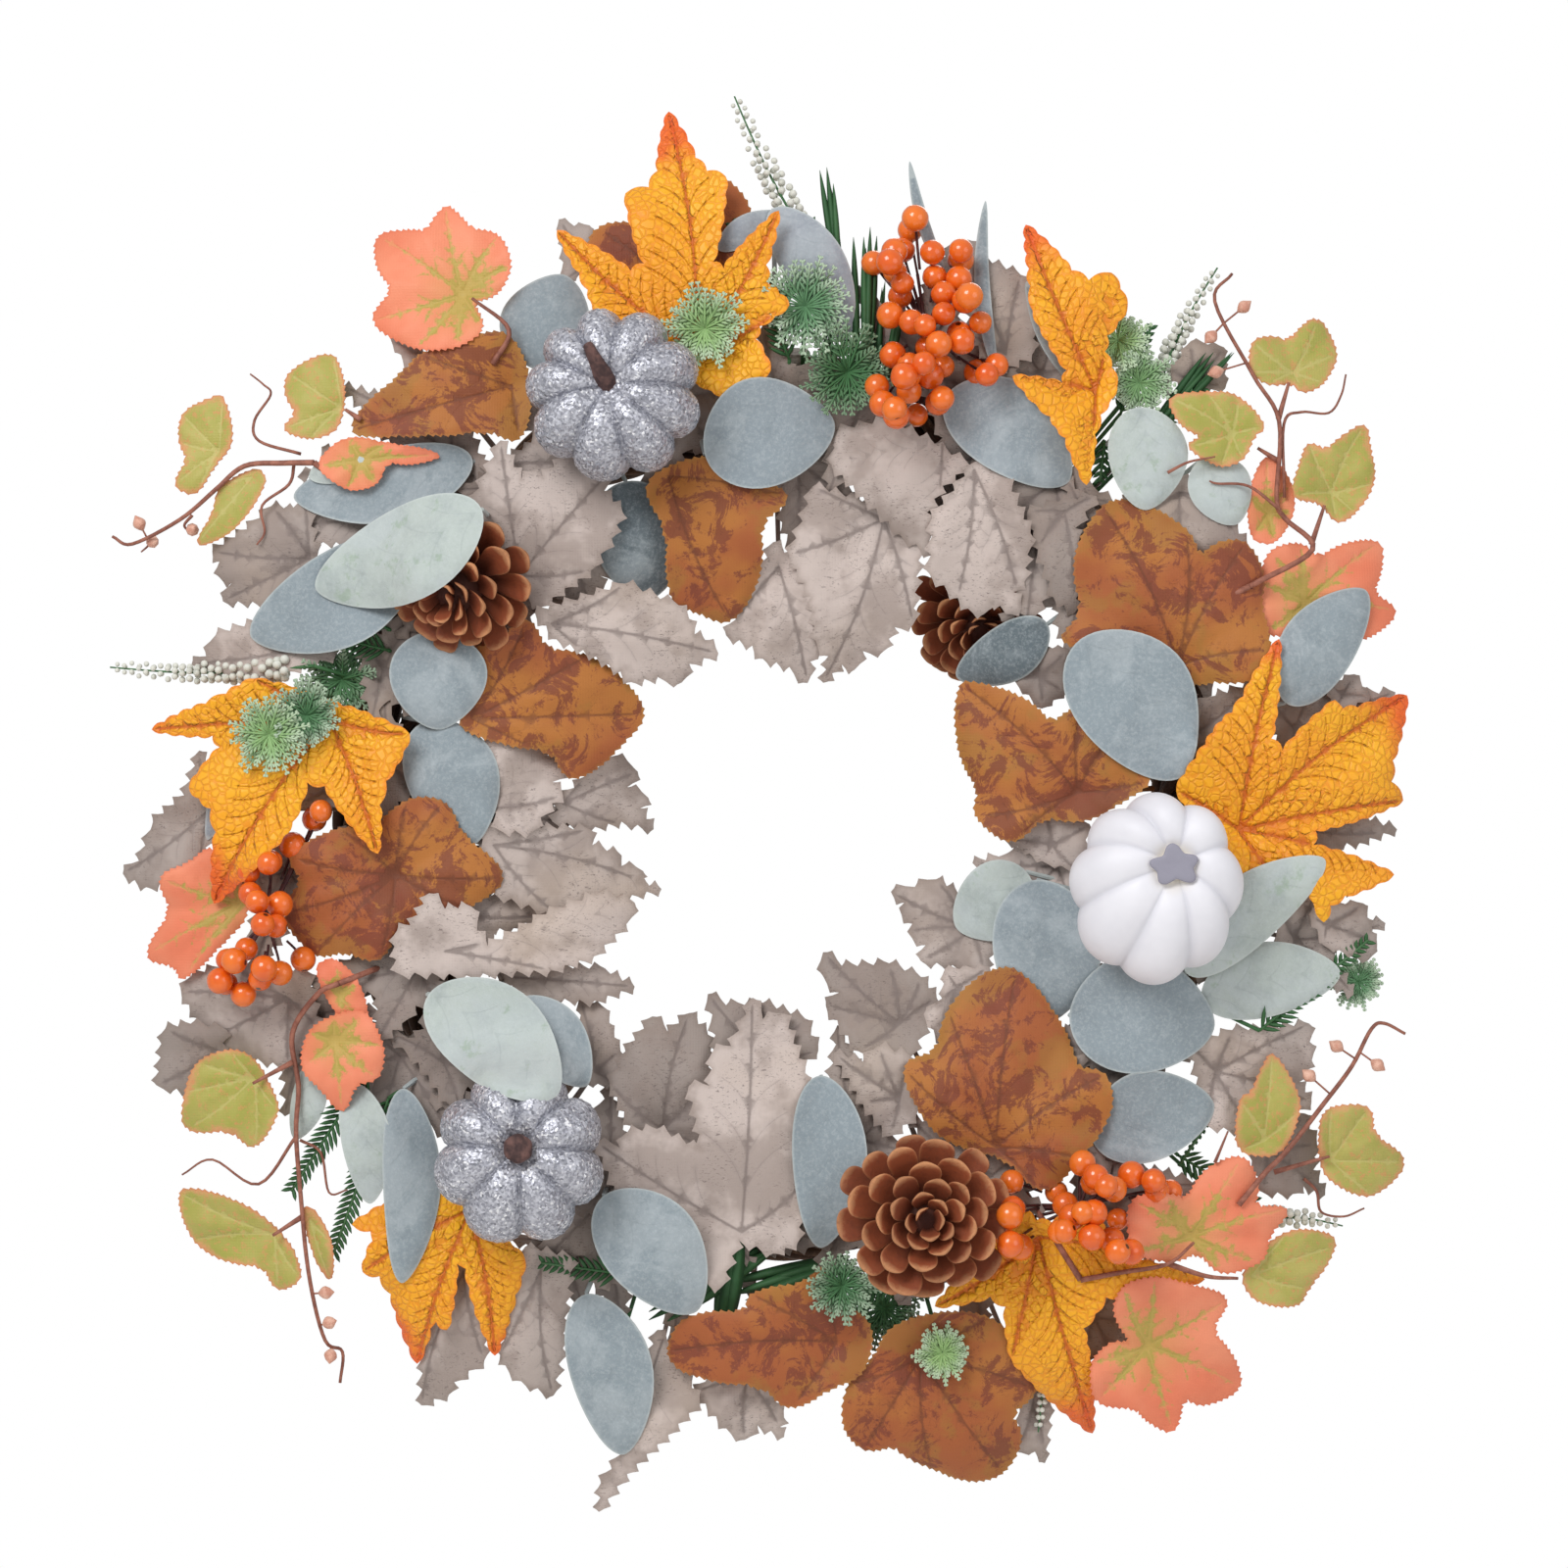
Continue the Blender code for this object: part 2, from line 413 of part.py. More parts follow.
def band(name, clock, width, parent, finish):
    """A binding band with a flat back, square to the ring at a clock angle."""
    centre = math.radians(clock)
    inner, outer = band_outline(BAND_INNER, 0), band_outline(BAND_OUTER, BAND_FOOT)
    normal = Vector((math.sin(centre), 0, math.cos(centre)))
    along = Vector((math.cos(centre), 0, -math.sin(centre)))
    sections = []
    for outline, side in ((outer, -1), (outer, 1), (inner, 1), (inner, -1)):
        shift = along * (side * width / 2)
        ring = []
        for out, front in outline:
            point = normal * (RING_RADIUS + out) + shift
            ring.append((point.x, -front, point.z))
        sections.append(ring)
    return add_object(name, *loft(sections, True), finish, parent)


def tube_along_x(inner, outer, length, centre, steps=12):
    """A closed pipe along X as vertices and faces."""
    sections = []
    for radius, side in ((outer, -1), (outer, 1), (inner, 1), (inner, -1)):
        ring = []
        for k in range(steps):
            turn = 2 * math.pi * k / steps
            ring.append((centre[0] + side * length / 2, centre[1] + radius * math.cos(turn),
                         centre[2] + radius * math.sin(turn)))
        sections.append(ring)
    return loft(sections, True)


def hanger(parent):
    """The strap round the top of the bundle with a knuckle behind it, and the hinged D-ring."""
    strap = band("hanger_strap", 0.0, STRAP_WIDTH, parent, "hanger")
    knuckle = add_object("knuckle", *tube_along_x(KNUCKLE_INNER, KNUCKLE_OUTER, KNUCKLE_LENGTH,
                         (0, HINGE_DEPTH, RING_RADIUS)), "hanger", parent)
    knuckle.hide_render = True
    knuckle.display_type = "WIRE"
    join = strap.modifiers.new("knuckle", "BOOLEAN")
    join.operation = "UNION"
    join.object = knuckle
    ring = hanger_ring()
    hinge = bpy.data.objects.new("hinge", None)
    bpy.context.scene.collection.objects.link(hinge)
    ring.parent = hinge
    return strap, ring


def hanger_ring():
    """A closed D of round wire whose straight side turns in the knuckle, hanging down at rest."""
    half, drop, corner = HANGER_WIDTH / 2, HANGER_DROP, 5.0
    path = [(-half + corner, 0.0), (half - corner, 0.0)]
    corner_steps = 3
    for k in range(1, corner_steps + 1):
        turn = math.pi / 2 * k / corner_steps
        path.append((half - corner + corner * math.sin(turn), -corner + corner * math.cos(turn)))
    bow_steps = 10
    for k in range(bow_steps + 1):
        turn = math.pi * k / bow_steps
        path.append((half * math.cos(turn), -(drop - half) - half * math.sin(turn)))
    for k in range(corner_steps, 0, -1):
        turn = math.pi / 2 * k / corner_steps
        path.append((-half + corner - corner * math.sin(turn), -corner + corner * math.cos(turn)))
    sections = []
    for i, (x, z) in enumerate(path):
        before, after = path[i - 1], path[(i + 1) % len(path)]
        run = Vector((after[0] - before[0], 0, after[1] - before[1])).normalized()
        side = Vector((-run.z, 0, run.x))
        ring = []
        for k in range(HANGER_SIDES):
            turn = 2 * math.pi * k / HANGER_SIDES
            ring.append(Vector((x, 0, z)) + side * (RING_WIRE_RADIUS * math.cos(turn))
                        + Vector((0, RING_WIRE_RADIUS * math.sin(turn), 0)))
        sections.append(ring)
    return add_object("hanger_ring", *loft(sections, True), "hanger", None, smooth=True)


def parse(outline):
    """The corner points of an outline string."""
    points = []
    for word in outline.split():
        x, z = word[1:].split(",")
        points.append((float(x), float(z)))
    return points


def shift_of(anchor):
    """How far a piece at anchor moves when the vine ring isn't LAYOUT_RADIUS."""
    reach = math.hypot(*anchor)
    share = (RING_RADIUS - LAYOUT_RADIUS) / reach
    return (anchor[0] * share, anchor[1] * share)


def moved(points, anchor):
    dx, dz = shift_of(anchor)
    return [(x + dx, z + dz) for x, z in points]


def ribbon(start, end, width):
    """A straight stem from start to end, which runs past both by half its width."""
    run = Vector((end[0] - start[0], end[1] - start[1]))
    run = run.normalized() if run.length > 1e-6 else Vector((1, 0))
    side = Vector((-run.y, run.x)) * (width / 2)
    a = Vector(start) - run * (width / 2)
    b = Vector(end) + run * (width / 2)
    return [tuple(a - side), tuple(b - side), tuple(b + side), tuple(a + side)]


def oval(base, tip, width, steps):
    """An egg-shaped leaf from base to tip, widest a little nearer the base."""
    run = Vector(tip) - Vector(base)
    side = Vector((-run.y, run.x)).normalized()
    points = []
    for k in range(steps):
        turn = 2 * math.pi * k / steps
        along = 0.5 - 0.5 * math.cos(turn)
        swell = 1.0 + 0.16 * math.cos(turn)
        across = 0.5 * width * math.sin(turn) * swell
        points.append(tuple(Vector(base) + run * along + side * across))
    return points


def star(centre, radius):
    """A feathery head seen from the front."""
    points = []
    for k in range(2 * STAR_POINTS):
        turn = math.pi * k / STAR_POINTS
        r = radius * (STAR_NOTCH if k % 2 else 1.0)
        points.append((centre[0] + r * math.sin(turn), centre[1] + r * math.cos(turn)))
    return points


def inside(point, edges):
    """Whether a place lies inside closed edges, by counting the edges to its right."""
    x, z = point
    hit = False
    for (ax, az), (bx, bz) in edges:
        if (az > z) != (bz > z) and x < (bx - ax) * (z - az) / (bz - az) + ax:
            hit = not hit
    return hit


def edges_of(polygon):
    return list(zip(polygon, polygon[1:] + polygon[:1]))


def pinch_points(points, triangles):
    """Corners where two parts of a patch meet only at a point."""
    border = {}
    directed = {(tri[k], tri[(k + 1) % 3]) for tri in triangles for k in range(3)}
    for a, b in directed:
        if (b, a) not in directed:
            border[a] = border.get(a, 0) + 1
            border[b] = border.get(b, 0) + 1
    return [points[i] for i in sorted(border) if border[i] > 2]


def united(polygons, extra_points=()):
    """The union of flat polygons as (points, triangles), with a small bridge at any pinch."""
    polygons = list(polygons)
    for _ in range(PINCH_ROUNDS):
        points, triangles = triangulated([edges_of(p) for p in polygons], ())
        pinches = pinch_points(points, triangles)
        if not pinches:
            break
        for x, z in pinches:
            polygons.append(ribbon((x, z - PINCH_BRIDGE), (x, z + PINCH_BRIDGE), PINCH_BRIDGE))
    directed = {(tri[k], tri[(k + 1) % 3]) for tri in triangles for k in range(3)}
    border = sorted((a, b) for a, b in directed if (b, a) not in directed)
    outline = [(points[a], points[b]) for a, b in border]
    return triangulated([outline], extra_points)


def triangulated(outlines, extra_points):
    """Triangles that cover every outline, each a list of edges, as (points, triangles)."""
    coords, edges, number = [], [], {}
    for outline in outlines:
        for edge in outline:
            for point in edge:
                if point not in number:
                    number[point] = len(coords)
                    coords.append(Vector(point))
            edges.append((number[edge[0]], number[edge[1]]))
    coords += [Vector(p) for p in extra_points]
    points, _, faces, _, _, _ = delaunay_2d_cdt(coords, edges, [], 0, MERGE_DISTANCE)
    kept = []
    for face in faces:
        a, b, c = (points[i] for i in face)
        middle = (a + b + c) / 3
        area = abs((b - a).cross(c - a)) / 2
        if area > SMALLEST_TRIANGLE and any(inside(middle, outline) for outline in outlines):
            kept.append(tuple(face))
    return [tuple(p) for p in points], largest_patch(kept)


def largest_patch(triangles):
    """The biggest set of triangles joined edge to edge."""
    by_edge = {}
    for n, tri in enumerate(triangles):
        for k in range(3):
            by_edge.setdefault(frozenset((tri[k], tri[(k + 1) % 3])), []).append(n)
    unseen, best = set(range(len(triangles))), []
    while unseen:
        queue, patch = [unseen.pop()], []
        while queue:
            n = queue.pop()
            patch.append(n)
            for k in range(3):
                edge = frozenset((triangles[n][k], triangles[n][(k + 1) % 3]))
                for m in by_edge[edge]:
                    if m in unseen:
                        unseen.discard(m)
                        queue.append(m)
        if len(patch) > len(best):
            best = patch
    return [triangles[n] for n in best]


def bed(x, z):
    """Forward depth of the domed leaf bed at a place."""
    away = (math.hypot(x, z) - RING_RADIUS) / DOME_REACH
    return DOME_CROWN - DOME_SAG * away * away


def plate(points, triangles, thickness):
    """A closed plate on the leaf bed: thickness(x, z) gives what is in front and behind of it."""
    used = sorted({i for tri in triangles for i in tri})
    place = {old: new for new, old in enumerate(used)}
    vertices = []
    for i in used:
        x, z = points[i]
        vertices.append((x, -(bed(x, z) + thickness(x, z)[0]), z))
    for i in used:
        x, z = points[i]
        vertices.append((x, -(bed(x, z) - thickness(x, z)[1]), z))
    count = len(used)
    faces, directed = [], set()
    for tri in triangles:
        a, b, c = (place[i] for i in tri)
        faces.append((a, b, c))
        faces.append((count + c, count + b, count + a))
        directed |= {(a, b), (b, c), (c, a)}
    for a, b in sorted(directed):
        if (b, a) not in directed:
            faces.append((b, a, count + a, count + b))
    return vertices, faces


def leaf_thickness(x, z):
    return LEAF_THICKNESS, 0.0


def berry_thickness(berries):
    """Rounded swelling over each berry and a plain stem elsewhere."""
    def at(x, z):
        near = min(math.hypot(x - b[0], z - b[1]) for b in berries)
        if near >= BERRY_RADIUS:
            return 1.0, 0.6
        half = math.sqrt(BERRY_RADIUS ** 2 - near ** 2)
        return max(half, 1.0), max(half, 0.6)
    return at


def revolve(profile, steps, shape):
    """A closed solid about the forward axis from (depth, radius, key) rows, ends first and last."""
    sections = []
    for depth, radius, key in profile:
        ring = []
        for k in range(steps):
            turn = 2 * math.pi * k / steps
            r = radius * shape(turn, key)
            ring.append((r * math.sin(turn), -depth, r * math.cos(turn)))
        sections.append(ring)
    return loft(sections, False)


def pumpkin_mesh(centre, wide, tall, lobes, turn_deg):
    """A squashed lobed body with a flat seat for its stem, its back at depth zero."""
    seat = STEM_SEAT_RADIUS / PUMPKIN_RADIUS
    rows = [(0.05, 0.30), (0.02, 0.55), (0.16, 0.86), (0.42, 1.0), (0.68, 0.95), (0.88, 0.74),
            (0.97, 0.50), (0.93, 0.34), (0.80, seat)]
    profile = [(PUMPKIN_DEPTH * d, PUMPKIN_RADIUS * r, r) for d, r in rows]
    phase = math.radians(turn_deg)

    def shape(turn, key):
        groove = abs(math.sin((turn - phase) * lobes / 2))
        depth = 0.12 * min(1.0, max(0.0, key - seat) * 2.5)
        return 1.0 - depth * (1.0 - groove ** 0.6)

    vertices, faces = revolve(profile, 4 * lobes, shape)
    vertices = [(x * wide + centre[0], y, z * tall + centre[1]) for x, y, z in vertices]
    return vertices, faces


def stem_mesh(centre, base_depth, lean, length=11.0, radius=5.5):
    """A short tapered stalk that stands on the pumpkin's seat and leans a little."""
    sections = []
    for share, scale in ((0.0, 1.0), (0.35, 0.7), (0.75, 0.6), (1.0, 0.75)):
        ring = []
        for k in range(8):
            turn = 2 * math.pi * k / 8
            ring.append((centre[0] + lean[0] * share ** 2 + radius * scale * math.sin(turn),
                         -(base_depth + length * share),
                         centre[1] + lean[1] * share ** 2 + radius * scale * math.cos(turn)))
        sections.append(ring)
    return loft(sections, False)


def cone_mesh(centre, size):
    """A pine cone seen end on: tiers of scales, each tier notched, its back at depth zero."""
    tiers = 5
    rows = [(0.0, 0.55, 0)]
    for t in range(tiers):
        reach = (1.0, 0.96, 0.80, 0.58, 0.34)[t]
        depth = 0.16 + 0.19 * t
        rows.append((depth, reach, t + 1))
        rows.append((depth + 0.05, reach * 0.78, 0))
    rows.append((1.02, 0.14, 0))
    profile = [(CONE_DEPTH * size * d, CONE_RADIUS * size * r, key) for d, r, key in rows]

    def shape(turn, key):
        if not key:
            return 1.0
        return 1.0 + 0.07 * math.cos(8 * turn + math.pi * key)

    vertices, faces = revolve(profile, 16, shape)
    return [(x + centre[0], y, z + centre[1]) for x, y, z in vertices], faces


class Stack:
    """What the pieces laid so far hold, as the foremost depth over a fine grid of places."""

    CELL = 1.5
    HALF = 240

    def __init__(self):
        size = 2 * self.HALF + 1
        self.height = np.full((size, size), -1e3)

    def samples(self, vertices, faces):
        """Points spread over every face, as arrays of grid index and forward depth."""
        out = []
        for face in faces:
            for k in range(1, len(face) - 1):
                corners = np.array([vertices[face[0]], vertices[face[k]], vertices[face[k + 1]]])
                flat = corners[:, [0, 2]]
                span = max(np.linalg.norm(flat[i] - flat[i - 1]) for i in range(3))
                n = max(1, int(math.ceil(span / (0.7 * self.CELL))))
                i, j = np.meshgrid(np.arange(n + 1), np.arange(n + 1))
                keep = (i + j) <= n
                u, v = i[keep] / n, j[keep] / n
                point = (corners[0] * (1 - u - v)[:, None] + corners[1] * u[:, None]
                         + corners[2] * v[:, None])
                out.append(point)
        points = np.concatenate(out)
        cells = np.rint(points[:, [0, 2]] / self.CELL).astype(int) + self.HALF
        return cells[:, 0], cells[:, 1], -points[:, 1]

    def lift(self, vertices, faces, wanted):
        """The lift that clears everything beneath, at least wanted, and what the piece then adds."""
        col, row, depth = self.samples(vertices, faces)
        wide = self.height.copy()
        for dx in (-1, 0, 1):
            for dz in (-1, 0, 1):
                wide = np.maximum(wide, np.roll(self.height, (dx, dz), (0, 1)))
        need = float(np.max(wide[col, row] - depth)) + STACK_GAP
        raised = max(wanted, need)
        np.maximum.at(self.height, (col, row), depth + raised)
        return raised


def lay(stack, name, vertices, faces, wanted, finish, parent, smooth=False):
    """Adds one piece, as far forward as it must be to rest clear of the pieces before it."""
    raised = stack.lift(vertices, faces, wanted)
    placed = [(x, y - raised, z) for x, y, z in vertices]
    made = add_object(name, placed, faces, finish, parent, smooth)
    return made, raised


def branched(places, hub, width):
    """Stems that join every place to the hub, each by way of its nearest neighbour."""
    hub_at = moved([hub], hub)[0]
    stems, reached = [], [hub_at]
    for place in sorted(places, key=lambda p: math.dist(p, hub_at)):
        stems.append(ribbon(place, min(reached, key=lambda r: math.dist(place, r)), width))
        reached.append(place)
    return stems


def leaf_polygons(leaves, hub):
    """Each leaf's outline, and the stems that tie their vein junctions to the spray's hub."""
    polygons = [moved(parse(outline), junction) for junction, outline in leaves]
    junctions = [moved([junction], junction)[0] for junction, _ in leaves]
    return polygons + branched(junctions, hub, STEM_WIDTH)


def anchor_on_ring(junction):
    """Where a single leaf's stalk is tied to the vine ring."""
    reach = math.hypot(*junction)
    toward = LAYOUT_RADIUS / reach
    target = (junction[0] * toward, junction[1] * toward)
    gap = math.hypot(target[0] - junction[0], target[1] - junction[1])
    share = max(0.0, gap - 6.0) / gap if gap > 1e-6 else 0.0
    return (junction[0] + (target[0] - junction[0]) * share,
            junction[1] + (target[1] - junction[1]) * share)


def lay_sprays(stack, centre):
    """Greens, taupe and sage sprays, then the big single leaves, then vines and berries."""
    for name, hub, heads, blades in GREENS_SPRAYS:
        places = [moved([(x, z)], (x, z))[0] for x, z, _ in heads]
        polygons = [star(place, head[2]) for place, head in zip(places, heads)]
        for base, tip, width in blades:
            base_at, tip_at = moved([base, tip], base)
            polygons.append(oval(base_at, tip_at, width, BLADE_STEPS))
            places.append(base_at)
        polygons += branched(places, hub, STEM_WIDTH)
        lay(stack, "greens_" + name, *plate(*united(polygons), leaf_thickness), LIFT["greens"],
            "greens", centre)
    for name, hub, leaves in TAUPE_SPRAYS:
        lay(stack, "taupe_" + name, *plate(*united(leaf_polygons(leaves, hub)), leaf_thickness),
            LIFT["taupe"], "taupe", centre)
    for name, hub, leaves in SAGE_SPRAYS:
        polygons, places = [], []
        for base, tip, width in leaves:
            base_at, tip_at = moved([base, tip], base)
            polygons.append(oval(base_at, tip_at, width, OVAL_STEPS))
            places.append(base_at)
        polygons += branched(places, hub, STEM_WIDTH)
        lay(stack, "sage_" + name, *plate(*united(polygons), leaf_thickness), LIFT["sage"],
            "sage", centre)


def lay_single_leaves(stack, centre, prefix, leaves):
    for n, (junction, outline) in enumerate(leaves, 1):
        stalk = ribbon(moved([junction], junction)[0],
                       moved([anchor_on_ring(junction)], junction)[0], STEM_WIDTH)
        polygons = [moved(parse(outline), junction), stalk]
        lay(stack, f"{prefix}_leaf_{n}", *plate(*united(polygons), leaf_thickness), LIFT[prefix],
            prefix, centre)


def lay_vines(stack, centre):
    for name, stem, leaves in VINE_SPRAYS:
        path = [moved([p], stem[0])[0] for p in stem]
        polygons = [ribbon(a, b, STEM_WIDTH) for a, b in zip(path, path[1:])]
        for junction, outline in leaves:
            place = moved([junction], stem[0])[0]
            nearest = min(path, key=lambda p: math.hypot(p[0] - place[0], p[1] - place[1]))
            polygons.append(moved(parse(outline), stem[0]))
            polygons.append(ribbon(place, nearest, STEM_WIDTH))
        lay(stack, "ivy_vine_" + name, *plate(*united(polygons), leaf_thickness), LIFT["vine"],
            "ivy", centre)


def lay_berries(stack, centre):
    for name, hub, berries in BERRY_SPRAYS:
        places = [moved([b], hub)[0] for b in berries]
        polygons = [[(x + BERRY_RADIUS * math.sin(math.pi * k / 3),
                      z + BERRY_RADIUS * math.cos(math.pi * k / 3)) for k in range(6)]
                    for x, z in places]
        polygons += branched(places, hub, BERRY_STALK)
        lay(stack, "berry_spray_" + name, *plate(*united(polygons, places), berry_thickness(places)),
            LIFT["berry"], "berry", centre)


def lay_cones(stack, centre):
    for name, place, size in PINE_CONES:
        at = moved([place], place)[0]
        lay(stack, "pine_cone_" + name, *cone_mesh(at, size), DOME_CROWN + LIFT["cone"], "cone",
            centre)


def lay_pumpkins(stack, centre):
    leans = {"silver_top": (-7.0, 6.0), "silver_low": (0.0, 0.0), "white": (3.0, 2.0)}
    for name, place, wide, tall, lobes, turn in PUMPKINS:
        at = moved([place], place)[0]
        vertices, faces = pumpkin_mesh(at, wide, tall, lobes, turn)
        finish = "white" if name == "white" else "silver"
        _, raised = lay(stack, "pumpkin_" + name, vertices, faces, DOME_CROWN + LIFT["pumpkin"],
                        finish, centre, smooth=True)
        seat = raised + PUMPKIN_DEPTH * 0.80 + STEM_GAP
        add_object("pumpkin_stem_" + name, *stem_mesh(at, seat, leans[name]), "stem", centre,
                   smooth=True)


def lay_sunk_cone(stack, centre):
    name, place, size, depth = SUNK_CONE
    at = moved([place], place)[0]
    vertices, faces = cone_mesh(at, size)
    placed = [(x, y - depth, z) for x, y, z in vertices]
    stack.lift(placed, faces, 0.0)
    add_object("pine_cone_" + name, placed, faces, "cone", centre)


def main():
    for old in list(bpy.data.objects):
        bpy.data.objects.remove(old)
    centre = bpy.data.objects.new("wreath_centre", None)
    bpy.context.scene.collection.objects.link(centre)
    centre.location = (0, -HINGE_DEPTH * MM, -RING_RADIUS * MM)
    strand("core_hoop", 0.0, 0.0, HOOP_WIRE_RADIUS, HOOP_SIDES, centre, "wire")
    for n in range(3):
        strand(f"vine_strand_{n + 1}", 2 * math.pi * n / 3, STRAND_OFFSET, STRAND_RADIUS,
               STRAND_SIDES, centre, "vine")
    for n, clock in enumerate(BAND_CLOCK, 1):
        band(f"binding_band_{n}", clock, BAND_WIDTH, centre, "band")
    hanger(centre)
    stack = Stack()
    lay_sunk_cone(stack, centre)
    lay_sprays(stack, centre)
    lay_single_leaves(stack, centre, "rust", RUST_LEAVES)
    lay_single_leaves(stack, centre, "yellow", YELLOW_LEAVES)
    lay_vines(stack, centre)
    lay_berries(stack, centre)
    lay_cones(stack, centre)
    lay_pumpkins(stack, centre)


main()
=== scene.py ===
import math
import random

import bpy
import numpy as np
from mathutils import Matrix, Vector
from mathutils.geometry import delaunay_2d_cdt
from mathutils.kdtree import KDTree
from mathutils.noise import noise as smooth_noise

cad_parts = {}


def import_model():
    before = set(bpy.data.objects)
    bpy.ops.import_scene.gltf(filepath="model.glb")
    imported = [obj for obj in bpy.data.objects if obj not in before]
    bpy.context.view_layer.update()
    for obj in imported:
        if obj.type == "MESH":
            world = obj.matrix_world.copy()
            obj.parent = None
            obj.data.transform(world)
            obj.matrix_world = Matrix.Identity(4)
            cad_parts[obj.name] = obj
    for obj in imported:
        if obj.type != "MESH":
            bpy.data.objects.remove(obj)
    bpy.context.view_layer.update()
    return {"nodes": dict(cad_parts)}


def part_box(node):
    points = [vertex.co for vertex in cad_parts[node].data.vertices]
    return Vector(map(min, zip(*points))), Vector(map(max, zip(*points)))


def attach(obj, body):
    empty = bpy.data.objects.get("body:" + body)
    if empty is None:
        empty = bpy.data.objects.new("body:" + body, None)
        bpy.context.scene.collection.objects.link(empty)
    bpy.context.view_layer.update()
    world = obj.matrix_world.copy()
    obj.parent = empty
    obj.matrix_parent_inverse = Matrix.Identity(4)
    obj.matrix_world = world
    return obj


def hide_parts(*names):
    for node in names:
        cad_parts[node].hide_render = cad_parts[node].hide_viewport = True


# Looks of the harvest door wreath. Layout places are (x, z) in millimetres from the middle of the
# vine ring, seen from the front, and a depth is millimetres forward of the plane of the ring.

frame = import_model()

MM = 0.001
HOOP_LOW, HOOP_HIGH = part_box("core_hoop")
CENTRE = (HOOP_LOW + HOOP_HIGH) / 2
RING_RADIUS = 155.0
STRAND_OFFSET = 10.97  # strand centreline from the hoop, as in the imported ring
STRAND_TURNS = 4
BED_CROWN = 24.0  # depth of the lowest leaves above the ring
BED_SAG = 16.0
BED_REACH = 100.0
GRID = 1.0  # cell of the height map that every laid piece rests on
GRID_HALF = 300
REST_GAP = 1.0  # daylight between a leaf and what it rests on
LAYER_STEP = 1.7  # how much further forward each layer of leaves is held
SIDE_VEIN_STEP = 0.55  # side veins read as this much further away than main ones
LEAF_SKIN = 0.35  # thickness of a cloth leaf
MARGIN_STEP = 1.5  # spacing of the fine points along a leaf's edge
FILLER_COUNT = 26  # back leaves spaced round the ring
STALK_SINK = 1.2  # a leaf's stalk starts this far behind its blade
STALK_FOOT = 12.0  # depth of the ring end of leaf stalks and ivy stems
GREENS_FOOT = 10.0  # depth of the ring end of the greens' stems
BERRY_KNOT = 30.0  # depth at which the stalks of a berry spray meet
BERRY_FOOT = 22.0  # depth of the far end of a berry spray's trunk
BERRY_LIMIT = 62.0  # the furthest forward that a berry's centre may lie
CONE_SCALES = 44
VINE_STEPS = 320  # rings of points round one twig of a strand
TWIG_SIDES = 8
AMBIENT = 0.50
KEY_POWER = 27.0
FILL_POWER = 7.0
VIEW_RISE = 0.0093  # metres
VIEW_DISTANCE = 2.232
TOOTH_PROFILE = ((0.0, 0.0), (0.36, 0.42), (0.72, 1.0), (0.84, 0.45))  # place and rise over one tooth

# Outlines of the lobed leaves: (vein junction, outline). T marks a lobe's tip, n a notch or a side.
YELLOW_LEAVES = [
    ((-32, 172), "T-70,186 n-75,198 T-86,219 n-51,199 T-60,233 n-49,236 T-44,266 n-31,242 T-22,239"
     " n-28,198 T-2,226 n-8,200 T2,190 n-12,180 T-5,165 T-22,155"),
    ((118, 158), "T114,122 n104,144 T86,163 n110,160 T94,188 n93,200 T92,222 n113,199 T124,203"
     " T130,190 n120,176 T126,160 n118,146"),
    ((172, -8), "T148,7 n157,22 T165,33 n170,37 T187,64 n183,17 T208,41 n212,37 T237,43 n229,12"
     " T235,3 n192,-11 T231,-25 n207,-35 T204,-43 n196,-25 T176,-30"),
    ((96, -162), "T57,-188 n83,-183 T86,-208 T118,-239 n112,-186 T160,-179 n128,-169 T114,-150"
     " n98,-158 T84,-146 n72,-172"),
    ((-172, 34), "T-200,49 n-213,42 T-240,30 n-210,27 T-225,8 n-214,-2 T-216,-36 n-187,-10 n-178,15"
     " T-153,-17 n-152,6 T-141,28 n-158,36"),
    ((-119, -152), "T-164,-158 n-155,-161 T-160,-176 n-152,-178 T-140,-212 n-133,-194 T-128,-198"
     " n-123,-166 T-110,-208 n-103,-188 T-98,-170 n-110,-160 T-112,-146 T-134,-142"),
]
